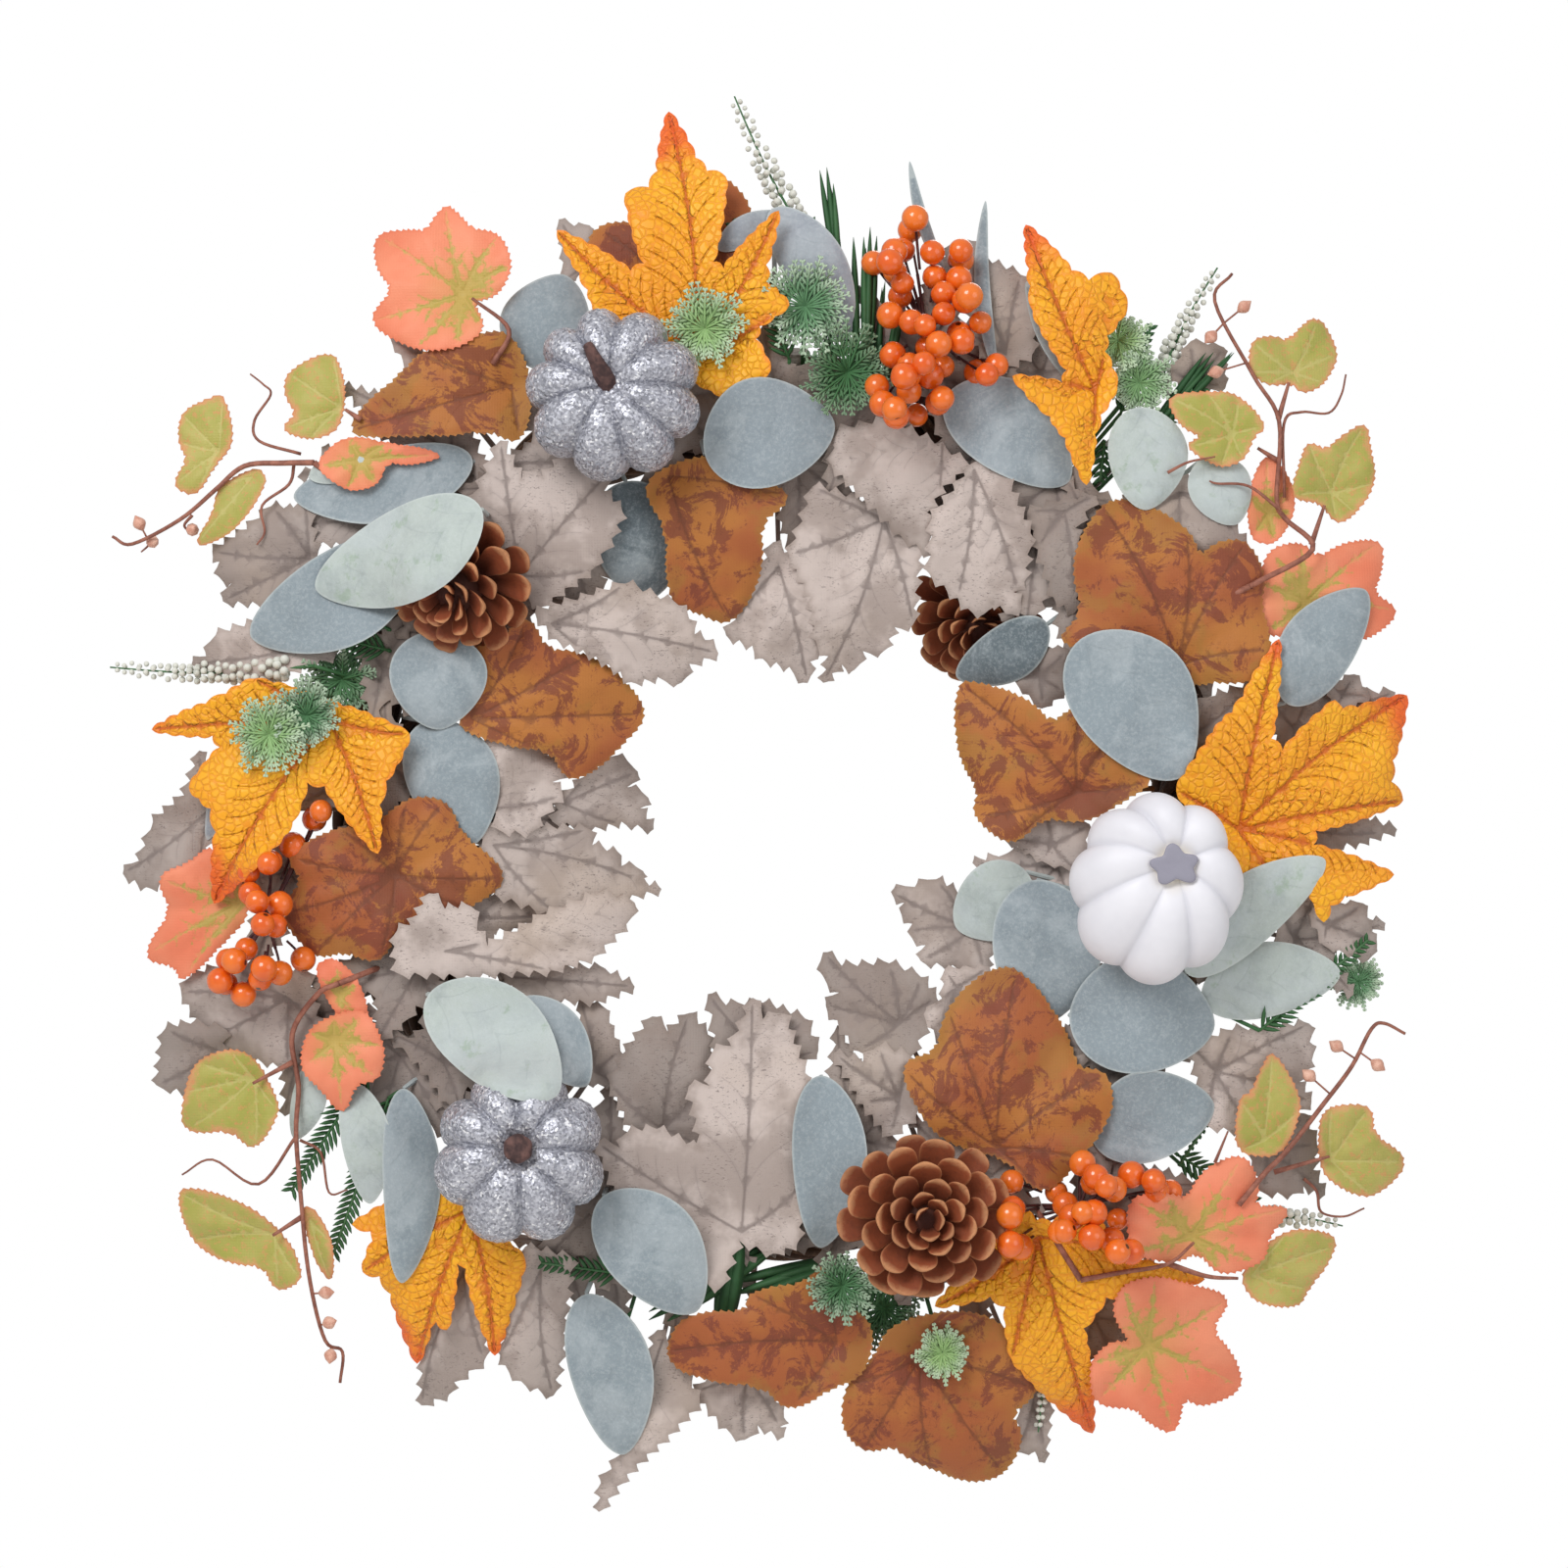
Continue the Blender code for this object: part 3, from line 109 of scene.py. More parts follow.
RUST_LEAVES = [
    ((-103, 160), "T-104,181 n-122,177 T-138,172 n-143,166 T-168,142 n-140,141 T-112,143 T-99,138"
     " T-95,160"),
    ((-37, 190), "T-68,190 n-76,205 T-72,222 n-52,222 T-50,240 n-40,235 T-27,244 T-12,229 n-16,212"
     " T-10,195"),
    ((-44, 126), "T-30,134 n-10,125 T3,118 n-9,108 T-9,88 T-20,70 n-34,75 T-43,78 n-44,105 T-54,124"),
    ((-118, 34), "T-118,60 n-108,62 T-97,73 n-90,60 T-74,58 T-62,50 T-52,36 T-62,24 T-73,14 T-82,11"
     " n-88,22 T-112,26 T-124,32"),
    ((-147, -25), "T-104,-26 n-122,-10 T-128,3 T-142,4 n-156,-9 T-168,-7 T-188,-18 n-182,-27"
     " T-191,-40 T-178,-56 n-166,-54 T-153,-58 n-146,-46 T-120,-38"),
    ((149, 54), "T103,62 n113,74 T109,95 T120,115 T132,117 T152,106 n157,95 T165,101 T175,101"
     " T182,88 n180,78 T184,60 T182,49 n158,48 T146,44 n134,58"),
    ((111, 6), "T66,48 T76,47 T92,41 n101,32 T112,39 T124,27 T140,11 n128,3 T114,-5 n98,-3 T86,-14"
     " T72,-3 n74,7 T66,22"),
    ((80, -128), "T76,-62 T88,-60 T104,-80 T109,-92 n111,-98 T122,-100 T124,-114 T112,-132"
     " T98,-146 n84,-132 T62,-126 n52,-116 T44,-97 n58,-92 T62,-76"),
    ((20, -202), "T-45,-206 T-38,-192 n-14,-190 T-13,-183 T8,-179 T16,-171 n22,-186 T34,-196"
     " T30,-214 n18,-219 T2,-228 n-8,-218 T-38,-214"),
    ((52, -208), "T24,-218 T22,-234 T30,-244 T42,-242 n46,-246 T56,-251 T72,-257 T84,-254 T91,-240"
     " n86,-230 T97,-221 T92,-205 T78,-192 n60,-190 T40,-196 n34,-208"),
]
# Each taupe spray: (name, hub where its stems meet, leaves)
TAUPE_SPRAYS = [
    ("outer_left_top", (-150, 78), [
        ((-180, 95), "T-182,130 T-184,112 n-190,114 T-195,115 n-204,106 T-218,98 n-215,94 T-215,88"
         " n-210,86 T-214,79 T-196,78 T-176,90"),
        ((-172, 64), "T-226,55 n-220,58 T-216,66 T-199,71 T-170,70 T-170,58 n-188,52 T-198,49"
         " n-208,50"),
        ((-138, 172), "T-150,179 T-140,179 T-134,168 n-142,166"),
    ]),
    ("inner_left_top", (-112, 96), [
        ((-100, 88), "T-107,139 n-99,124 T-93,128 n-91,125 T-83,133 T-66,128 n-68,120 T-61,112"
         " n-65,102 T-73,90 T-92,76 n-112,92 T-118,115"),
        ((-88, 70), "T-94,74 T-84,77 T-60,85 T-40,77 n-36,72 T-34,66 n-30,64 T-25,59 n-36,55"
         " T-39,48 n-48,50 T-58,48 n-62,52 T-76,60 n-86,64"),
        ((-74, 208), "T-86,225 n-80,222 T-74,222 T-72,205 T-84,200 n-84,208"),
    ]),
    ("inner_top", (30, 140), [
        ((-2, 92), "T-4,101 T9,90 n12,70 T13,57 n10,56 T9,48 n2,54 T-8,57 n-12,62 T-22,66 T-12,84"),
        ((38, 110), "T11,122 T36,115 T52,100 T49,70 n42,69 T38,60 n30,60 T27,53 n22,55 T15,48"
         " n17,58 T12,64 n10,80 T2,96"),
        ((60, 138), "T20,143 T40,147 T57,138 T70,130 n60,122 T54,112 T56,96 n44,104 T30,118"
         " T18,130"),
        ((72, 128), "T72,131 T84,125 T93,104 n92,96 T91,86 n87,82 T90,76 n84,74 T82,77 n78,79"
         " T76,74 n70,76 T66,80 T55,89 T56,110"),
    ]),
    ("right_top", (118, 108), [
        ((106, 112), "T92,112 T104,116 T118,118 n110,106 T113,96 T110,74 n102,80 T96,98"),
        ((150, 120), "T139,112 T150,126 T163,118 T176,100 T150,96"),
        ((84, 172), "T70,217 n74,210 T90,203 T96,190 T94,172 T80,165 T70,180"),
        ((156, 162), "T155,178 T168,176 T168,160 T152,158 T147,166"),
        ((97, 50), "T88,58 T96,62 T108,60 T107,44 T98,38 T88,48"),
        ((212, 43), "T207,47 T217,51 T223,42 T208,36"),
    ]),
    ("inner_left", (-140, -14), [
        ((-112, 0), "T-117,24 n-113,23 T-110,27 n-104,26 T-100,28 n-95,25 T-88,28 n-90,20 T-82,15"
         " n-88,10 T-84,5 n-88,2 T-96,-9 T-108,-8 T-112,10"),
        ((-84, 2), "T-76,12 T-65,20 n-58,16 T-56,14 n-60,8 T-52,4 n-55,0 T-50,-8 n-62,-5 T-72,-7"
         " T-88,-5 n-84,4"),
        ((-110, -14), "T-116,-5 T-74,-8 n-73,-14 T-62,-18 n-62,-22 T-54,-24 n-56,-28 T-47,-31"
         " n-58,-33 T-66,-36 T-84,-42 T-110,-32"),
        ((-128, -54), "T-147,-52 n-146,-46 T-141,-44 n-136,-36 T-134,-32 n-128,-38 T-118,-37"
         " n-116,-46 T-112,-52 T-90,-40 T-70,-32 T-57,-36 T-60,-44 T-72,-56 T-88,-61 T-120,-63"
         " T-146,-62"),
        ((-104, -64), "T-110,-58 T-68,-61 n-66,-63 T-57,-68 n-72,-73 T-100,-72"),
    ]),
    ("outer_left", (-182, -60), [
        ((-218, 0), "T-253,-25 n-246,-20 T-241,-8 n-240,-5 T-228,5 T-222,22 T-212,0 T-222,-20"
         " n-232,-28 T-243,-30"),
        ((-188, -72), "T-230,-70 n-226,-64 T-210,-58 T-180,-62 T-176,-84 T-188,-98 n-206,-94"
         " T-222,-90 n-224,-80"),
        ((-216, -92), "T-236,-84 n-238,-90 T-240,-106 n-232,-107 T-230,-110 T-216,-100 T-212,-84"
         " n-226,-82"),
    ]),
    ("low", (-62, -158), [
        ((-46, -122), "T-50,-79 n-44,-85 T-36,-78 T-29,-86 n-28,-92 T-29,-104 T-32,-128 T-58,-120"
         " T-66,-104 n-60,-92"),
        ((-8, -96), "T-29,-71 n-22,-75 T-8,-74 T8,-80 T13,-92 T0,-100 T-26,-92 n-26,-86"),
        ((-72, -100), "T-78,-72 n-68,-76 T-62,-92 T-60,-106 T-76,-104"),
        ((-16, -160), "T-12,-72 n-8,-80 T0,-78 T8,-100 T9,-140 T5,-164 n-4,-168 T-17,-163"
         " T-24,-181 n-34,-178 T-44,-160 T-62,-148 T-71,-126 n-62,-128 T-59,-122 T-48,-121"
         " n-31,-129 T-36,-105 n-28,-105 T-27,-92 n-20,-90"),
        ((-122, -176), "T-139,-229 n-134,-226 T-128,-224 n-126,-219 T-114,-210 T-112,-180"
         " T-124,-164 T-138,-196"),
        ((-92, -174), "T-108,-208 n-106,-212 T-100,-218 T-88,-224 T-84,-205 T-80,-170 T-98,-166"
         " T-104,-190"),
        ((-46, -202), "T-71,-270 n-70,-258 T-62,-246 T-58,-225 T-48,-198 T-40,-208 T-32,-226"
         " T-44,-238 T-60,-254"),
        ((-14, -216), "T-34,-222 T-30,-218 T-8,-213 T0,-232 n-2,-236 T0,-240 n-10,-235 T-15,-241"
         " n-22,-236"),
    ]),
    ("right_low", (112, -118), [
        ((102, -14), "T99,1 n104,-3 T116,-6 T112,-24 T98,-20 T84,-12 n92,-6"),
        ((72, -46), "T58,-27 T66,-32 T80,-52 T76,-62 T52,-58 n54,-52 T47,-47 n49,-44 T44,-38"
         " n46,-36 T41,-32 n50,-30"),
        ((44, -82), "T15,-55 n22,-60 T40,-59 T52,-64 T58,-72 T54,-82 T48,-94 n40,-92 T28,-92"
         " T16,-75 n21,-70 T15,-64"),
        ((66, -68), "T53,-78 n60,-72 T61,-61 T78,-60 T72,-80 T60,-90"),
        ((44, -110), "T19,-93 n30,-96 T36,-90 T48,-94 T50,-116 T40,-124 T30,-112"),
        ((164, -100), "T154,-90 T170,-84 T200,-82 T201,-96 n196,-104 T201,-112 T180,-124 T160,-120"),
        ((184, -130), "T182,-122 T198,-116 n200,-122 T203,-128 n202,-138 T207,-148 n198,-144"
         " T194,-147 T182,-146 T178,-134"),
        ((95, -228), "T96,-218 T102,-228 T100,-251 n96,-246 T88,-246 T90,-230"),
        ((206, -44), "T199,-40 T206,-36 T220,-36 T226,-52 T222,-58 T205,-52"),
    ]),
]
# Sage sprays: (name, leaves), a leaf being base, tip and width
SAGE_SPRAYS = [
    ("top", [((-93, 166), (-84, 203), 32), ((-60, 124), (-52, 79), 34),
     ((-30, 134), (19, 146), 38), ((-4, 228), (24, 178), 22), ((-25, 212), (2, 226), 12)]),
    ("left_top", [((-113, 112), (-177, 83), 33), ((-140, 98), (-202, 65), 34),
     ((-180, 126), (-150, 130), 12), ((-134, 67), (-130, 30), 34), ((-136, 33), (-118, -14), 32),
     ((-212, 26), (-219, -12), 10),
     ((-118, 132), (-186, 118), 26)]),
    ("right_top", [((62, 157), (108, 124), 32), ((135, 152), (137, 113), 28),
     ((158, 132), (172, 108), 22), ((100, 70), (66, 50), 20), ((62, 200), (48, 247), 5),
     ((80, 165), (77, 232), 6), ((112, 160), (92, 200), 9)]),
    ("right_mid", [((112, 64), (150, 12), 42), ((190, 40), (221, 83), 26)]),
    ("right_low", [((92, -24), (66, -46), 28), ((96, -27), (98, -82), 38),
     ((108, -78), (163, -82), 42), ((116, -124), (163, -112), 32), ((152, -62), (204, -19), 24),
     ((158, -72), (211, -62), 26)]),
    ("low", [((-134, -70), (-84, -106), 34), ((-100, -72), (-74, -104), 20),
     ((-163, -104), (-157, -150), 18), ((-144, -106), (-145, -180), 20),
     ((-178, -96), (-186, -126), 14), ((-68, -146), (-33, -190), 34), ((-75, -184), (-61, -246), 29),
     ((14, -101), (14, -166), 26)]),
]
# Ivy vine sprays: (name, leaves)
VINE_SPRAYS = [
    ("left_top", [
        ((-122, 195), "T-129,230 T-124,226 n-119,220 T-108,218 T-103,206 T-108,195 n-118,192"
         " T-113,181 T-124,174 T-140,174 T-158,185 n-148,197 T-155,206 T-156,219 T-143,220"
         " n-136,219"),
        ((-168, 152), "T-172,174 T-189,166 T-190,158 n-185,150 T-191,144 T-180,140 T-170,143"
         " T-167,152 T-167,163"),
        ((-215, 136), "T-214,158 n-220,156 T-230,151 T-231,140 n-227,133 T-233,123 T-224,119"
         " T-217,130 T-209,140"),
        ((-202, 126), "T-200,130 T-196,124 T-209,105 T-225,99 T-217,112 T-215,122"),
        ((-160, 132), "T-178,130 T-166,141 T-150,138 T-128,134 T-140,130 n-150,131 T-154,122"
         " T-165,120"),
    ]),
    ("right_top", [
        ((198, 78), "T228,102 T214,101 n203,95 T196,101 T184,98 T180,85 T182,66 n193,66 T206,62"
         " T223,65 T235,75 n224,82 T228,92"),
        ((184, 112), "T184,136 T193,124 T194,112 T186,100 T177,102 T176,120"),
        ((194, 166), "T204,189 T212,174 T206,162 T198,158 n193,162 T184,161 T177,166 T178,178"
         " T186,180 n192,178"),
        ((170, 142), "T145,156 T160,158 T172,157 T183,145 T178,141 T174,132 T165,129 T152,137"
         " n158,141 T150,145"),
        ((208, 120), "T222,147 T223,137 T225,124 T217,112 T210,108 n204,116 T192,118 T196,132"
         " T199,139 n206,136 T213,142"),
    ]),
    ("left_low", [
        ((-206, -36), "T-206,-26 T-217,-14 n-226,-21 T-238,-26 n-233,-39 T-245,-57 n-232,-60"
         " T-229,-66 T-212,-50 n-203,-40"),
        ((-168, -70), "T-178,-60 T-170,-56 T-160,-66 T-157,-82 T-168,-80"),
        ((-170, -88), "T-170,-78 T-158,-76 T-151,-90 T-153,-102 n-162,-104 T-167,-116 n-175,-106"
         " T-183,-98 T-180,-84"),
        ((-201, -102), "T-229,-123 n-210,-122 T-201,-130 T-191,-115 T-194,-106 T-201,-94 T-210,-91"
         " T-223,-96 T-228,-108"),
        ((-194, -162), "T-232,-146 T-222,-145 T-206,-150 T-197,-156 n-191,-162 T-186,-168"
         " T-183,-179 T-193,-184 n-198,-174 T-215,-172 T-226,-165"),
        ((-180, -156), "T-183,-151 T-178,-152 T-171,-165 T-172,-181 T-178,-172"),
    ]),
    ("right_low", [
        ((154, -162), "T174,-131 T180,-142 T178,-151 T193,-152 T184,-162 T182,-172 T166,-177"
         " n157,-168 T146,-172 T130,-166 T130,-147 T144,-145 n152,-148 T160,-136"),
        ((138, -204), "T140,-177 n152,-180 T170,-186 T162,-198 T172,-210 T175,-222 T160,-228"
         " n152,-224 T149,-239 T138,-233 n134,-228 T118,-226 T116,-210 T124,-202 n132,-203"
         " T124,-190 T128,-180"),
        ((182, -126), "T185,-92 T193,-104 T196,-114 T188,-132 T171,-130 T172,-110 n177,-107"
         " T181,-98"),
        ((208, -134), "T203,-118 T208,-113 T223,-113 n224,-124 T239,-135 T225,-148 T215,-146"
         " T204,-138"),
        ((178, -178), "T211,-167 T208,-162 T192,-160 T177,-171 T174,-180 T180,-188 T196,-190"
         " T200,-183"),
    ]),
]
# Greens: (name, heads (x, z, radius), blades (base, tip, width))
GREENS_SPRAYS = [
    ("top", [(-30, 181, 14), (8, 190, 16), (24, 165, 16)],
     [((18, 203), (-19, 273), 13), ((20, 205), (16, 240), 5), ((30, 168), (28, 217), 6),
      ((36, 160), (40, 200), 5), ((2, 170), (-12, 206), 9), ((26, 176), (10, 224), 8),
      ((0, 186), (-20, 222), 8)]),
    ("right_top", [(127, 178, 11), (135, 162, 12)],
     [((140, 152), (166, 207), 10), ((138, 140), (164, 170), 6), ((122, 140), (120, 124), 8),
      ((134, 140), (160, 160), 9), ((128, 150), (140, 184), 8)]),
    ("left", [(-168, 49, 14), (-180, 35, 12), (-194, 28, 13)],
     [((-178, 54), (-258, 54), 11), ((-150, 68), (-160, 74), 14),
      ((-150, 60), (-176, 66), 12)]),
    ("low", [(60, -206, 10), (38, -190, 14), (22, -180, 12), (219, -66, 9)],
     [((-18, -160), (-26, -196), 12), ((150, -132), (180, -150), 10), ((96, -170), (97, -238), 6),
      ((200, -60), (150, -136), 4), ((-62, -176), (-92, -172), 10), ((-60, -196), (-56, -222), 8),
      ((-8, -168), (-50, -192), 9), ((22, -172), (-16, -184), 9), ((-150, -110), (-172, -170), 12),
      ((-158, -100), (-188, -146), 12), ((176, -158), (214, -160), 9), ((180, -84), (222, -50), 10),
      ((40, -180), (8, -196), 9)]),
]
BERRY_SPRAYS = [
    ("top", (52, 150), [(48, 220), (34, 207), (45, 212), (56, 210), (42, 203), (57, 201), (67, 208),
     (66, 200), (44, 194), (40, 186), (48, 183), (60, 194), (68, 191), (60, 186), (66, 179),
     (74, 183), (54, 174), (41, 171), (47, 167), (60, 167), (55, 163), (35, 159), (47, 157),
     (37, 152), (42, 147), (50, 149), (58, 153), (80, 167), (73, 165)]),
    ("left", (-176, -40), [(-178, -4), (-186, -14), (-194, -20), (-202, -24), (-201, -32),
     (-190, -36), (-191, -44), (-203, -53), (-210, -57), (-182, -57), (-190, -62), (-197, -64),
     (-211, -66), (-204, -70)]),
    ("low", (96, -152), [(112, -133), (116, -141), (124, -143), (131, -138), (139, -140),
     (146, -145), (103, -145), (86, -141), (86, -150), (108, -153), (116, -151), (126, -155),
     (103, -158), (115, -160), (123, -162), (89, -165), (81, -158), (130, -166)]),
]
# One character per leaf of a spray: its tone (see TONES) and its layer, from 0 at the back to 9
LOOKS = {
    "yellow": ("555555", "776673"),
    "rust": ("5555555555", "5255555665"),
    "outer_left_top": ("gpp", "111"), "inner_left_top": ("ppg", "661"), "inner_top": ("ppbp", "2233"),
    "right_top": ("dmgddm", "221111"), "inner_left": ("pmbpb", "31172"), "outer_left": ("gmd", "111"),
    "low": ("ddgpmmpp", "22151121"), "right_low": ("mmdpmpdmm", "222321111"),
    "top": ("mDbll", "43843"), "left_top": ("PmPmmlm", "9446423"), "sage_right_top": ("bPGDggg", "4541333"),
    "right_mid": ("mm", "65"), "sage_right_low": ("GmmmPP", "456474"), "sage_low": ("PmPmPmmm", "98453957"),
    "vine_left_top": ("coooc", "66664"), "vine_right_top": ("ccooo", "33666"),
    "left_low": ("cccooo", "377777"), "vine_right_low": ("ccooo", "88777"),
}
# Back leaves that show between the others, mostly in dark tones that paint the shade in the gaps: junction x
# and z, aim in degrees, size and tone
GAP_LEAVES = (
    (-126, 134, 200, 58, 0.3), (5, 132, 270, 40, 0.1), (-90, 96, 300, 40, 0.5), (-125, -40, 0, 38, 0.6),
    (-146, -94, 250, 48, 0.1), (28, -126, 100, 44, 0.3), (104, -22, 178, 32, 0.8), (198, -8, 0, 36, 0.3),
    (194, -50, 10, 36, 0.5), (194, 30, 20, 42, 0.5), (118, -194, 300, 34, 0.0), (110, 92, 270, 40, 0.2),
    (98, 165, 75, 38, 0.4), (-85, -164, 290, 34, 0.15), (118, -144, 0, 44, 0.1), (-188, -24, 250, 42, 0.2),
    (55, 166, 80, 50, 0.25), (54, 126, 300, 44, 0.4), (98, 108, 262, 42, 0.35), (-150, 110, 186, 44, 0.35),
    (-84, 102, 290, 50, 0.4), (-118, 2, 350, 44, 0.5), (-70, -150, 280, 50, 0.2), (-40, -160, 268, 44, 0.15),
    (68, -162, 280, 42, 0.15), (-176, -78, 250, 42, 0.1),
)


# ---- Layout of vines and greens --------------------------------------------------------------

# Stems (the first starts at the ring), tendrils and buds of each ivy vine
VINE_STEMS = {
    "left_top": (
        [[(-178, 131), (-190, 131), (-205, 130), (-216, 121), (-230, 110), (-249, 101), (-257, 104)],
         [(-110, 168), (-104, 181), (-118, 193)], [(-160, 147), (-166, 151)]],
        [[(-184, 135), (-200, 140), (-202, 148), (-196, 158), (-199, 162), (-204, 166)],
         [(-186, 131), (-188, 123), (-198, 115), (-197, 105), (-200, 100)],
         [(-226, 112), (-229, 108), (-226, 105)], [(-244, 104), (-243, 101), (-246, 98)]],
        [(-246, 108), (-242, 102), (-226, 106)]),
    "right_top": (
        [[(176, 84), (200, 98), (190, 110), (187, 118), (188, 147), (178, 165), (164, 193), (171, 204)],
         [(188, 148), (192, 162)], [(200, 100), (205, 115)], [(188, 132), (180, 137)]],
        [[(190, 118), (190, 146), (197, 151), (208, 151), (213, 158), (215, 166)],
         [(188, 113), (176, 122), (164, 123), (161, 124)], [(145, 127), (153, 131), (163, 133)]],
        [(174, 190), (163, 180), (165, 166)]),
    "left_low": (
        [[(-168, -66), (-176, -70), (-186, -85), (-184, -105), (-185, -123), (-183, -150),
          (-180, -180), (-175, -203), (-169, -208), (-170, -220)],
         [(-186, -96), (-201, -104)], [(-183, -155), (-194, -162)]],
        [[(-185, -124), (-200, -143), (-218, -134), (-230, -140)],
         [(-184, -126), (-176, -131), (-173, -146), (-166, -145)]],
        [(-175, -184), (-174, -196), (-173, -208)]),
    "right_low": (
        [[(112, -178), (128, -175), (145, -172), (155, -164)], [(145, -172), (160, -177), (172, -178)],
         [(172, -150), (182, -138), (190, -130), (203, -114), (216, -98), (224, -84), (229, -82),
          (237, -86)], [(186, -138), (207, -132)]],
        [[(198, -141), (203, -146), (205, -154), (214, -156), (222, -153)], [(163, -134), (168, -122)]],
        [(200, -102), (211, -91), (225, -97)]),
}
# Tones of the feathery heads, and what each blade is: a flower spike, g grass, s needle sprig
GREEN_LOOKS = {
    "top": ((0.72, 0.5, 0.33), "agggsss"),
    "right_top": ((0.7, 0.6), "agsss"),
    "left": ((0.36, 0.42, 0.68), "ass"),
    "low": ((0.74, 0.34, 0.36, 0.5), "gsasssggssass"),
}
# Each pine cone: its layer, name, lean from straight ahead, seed, and degrees that its scales close by
PINE_CONES = (
    (1.5, "inner", (0.1, -0.5), 3, 0),
    (7.4, "left", (-0.45, -0.55), 5, 0),
    (7.6, "low", (0.05, 0.02), 8, 6),
)


# ---- Shared helpers -------------------------------------------------------------------------

def world(points):
    """World metres from rows of layout x, z and depth in millimetres."""
    points = np.asarray(points, float).reshape(-1, 3)
    out = np.empty_like(points)
    out[:, 0] = CENTRE.x + points[:, 0] * MM
    out[:, 1] = CENTRE.y - points[:, 2] * MM
    out[:, 2] = CENTRE.z + points[:, 1] * MM
    return out


def layout(point):
    """Layout x, z and depth in millimetres from a world point."""
    return np.array([point[0] - CENTRE.x, point[2] - CENTRE.z, CENTRE.y - point[1]]) / MM


def bed(x, z):
    """Depth of the domed leaf bed."""
    away = (np.hypot(x, z) - RING_RADIUS) / BED_REACH
    return BED_CROWN - BED_SAG * np.minimum(away * away, 1.5)


def straight(start, end, count):
    """Evenly spaced points from start to end."""
    return [start + (end - start) * t for t in np.linspace(0, 1, count)]


def ring_foot(x, z, depth):
    """The point of the ring's centreline straight inward or outward of x, z, at a depth."""
    r = math.hypot(x, z)
    return np.array([x / r * RING_RADIUS, z / r * RING_RADIUS, depth])


def packed_box(node):
    """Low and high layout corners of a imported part."""
    low, high = (layout(corner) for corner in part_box(node))
    return np.minimum(low, high), np.maximum(low, high)


def grid_faces(rows, columns):
    """Quads over rows of points that each run once round."""
    faces = []
    for i in range(rows - 1):
        for k in range(columns):
            m = (k + 1) % columns
            faces.append((i * columns + k, i * columns + m, (i + 1) * columns + m, (i + 1) * columns + k))
    return faces


def capped_faces(rows, columns):
    """The same with both ends closed."""
    faces = grid_faces(rows, columns)
    faces.append(tuple(range(columns))[::-1])
    faces.append(tuple((rows - 1) * columns + k for k in range(columns)))
    return faces


class HeightMap:
    """The frontmost depth of everything laid so far, on a grid over the layout."""

    def __init__(self):
        steps = np.arange(-GRID_HALF, GRID_HALF + 1, GRID)
        grid_x, grid_z = np.meshgrid(steps, steps, indexing="ij")
        self.top = bed(grid_x, grid_z) - 2.0

    def cells(self, x, z):
        last = self.top.shape[0] - 1
        i = np.clip(np.rint((np.asarray(x) + GRID_HALF) / GRID).astype(int), 0, last)
        j = np.clip(np.rint((np.asarray(z) + GRID_HALF) / GRID).astype(int), 0, last)
        return i, j

    def read(self, x, z):
        return self.top[self.cells(x, z)]

    def write(self, x, z, depth, reach=1):
        i, j = self.cells(x, z)
        last = self.top.shape[0] - 1
        for di in range(-reach, reach + 1):
            for dj in range(-reach, reach + 1):
                where = (np.clip(i + di, 0, last), np.clip(j + dj, 0, last))
                np.maximum.at(self.top, where, depth)


heights = HeightMap()


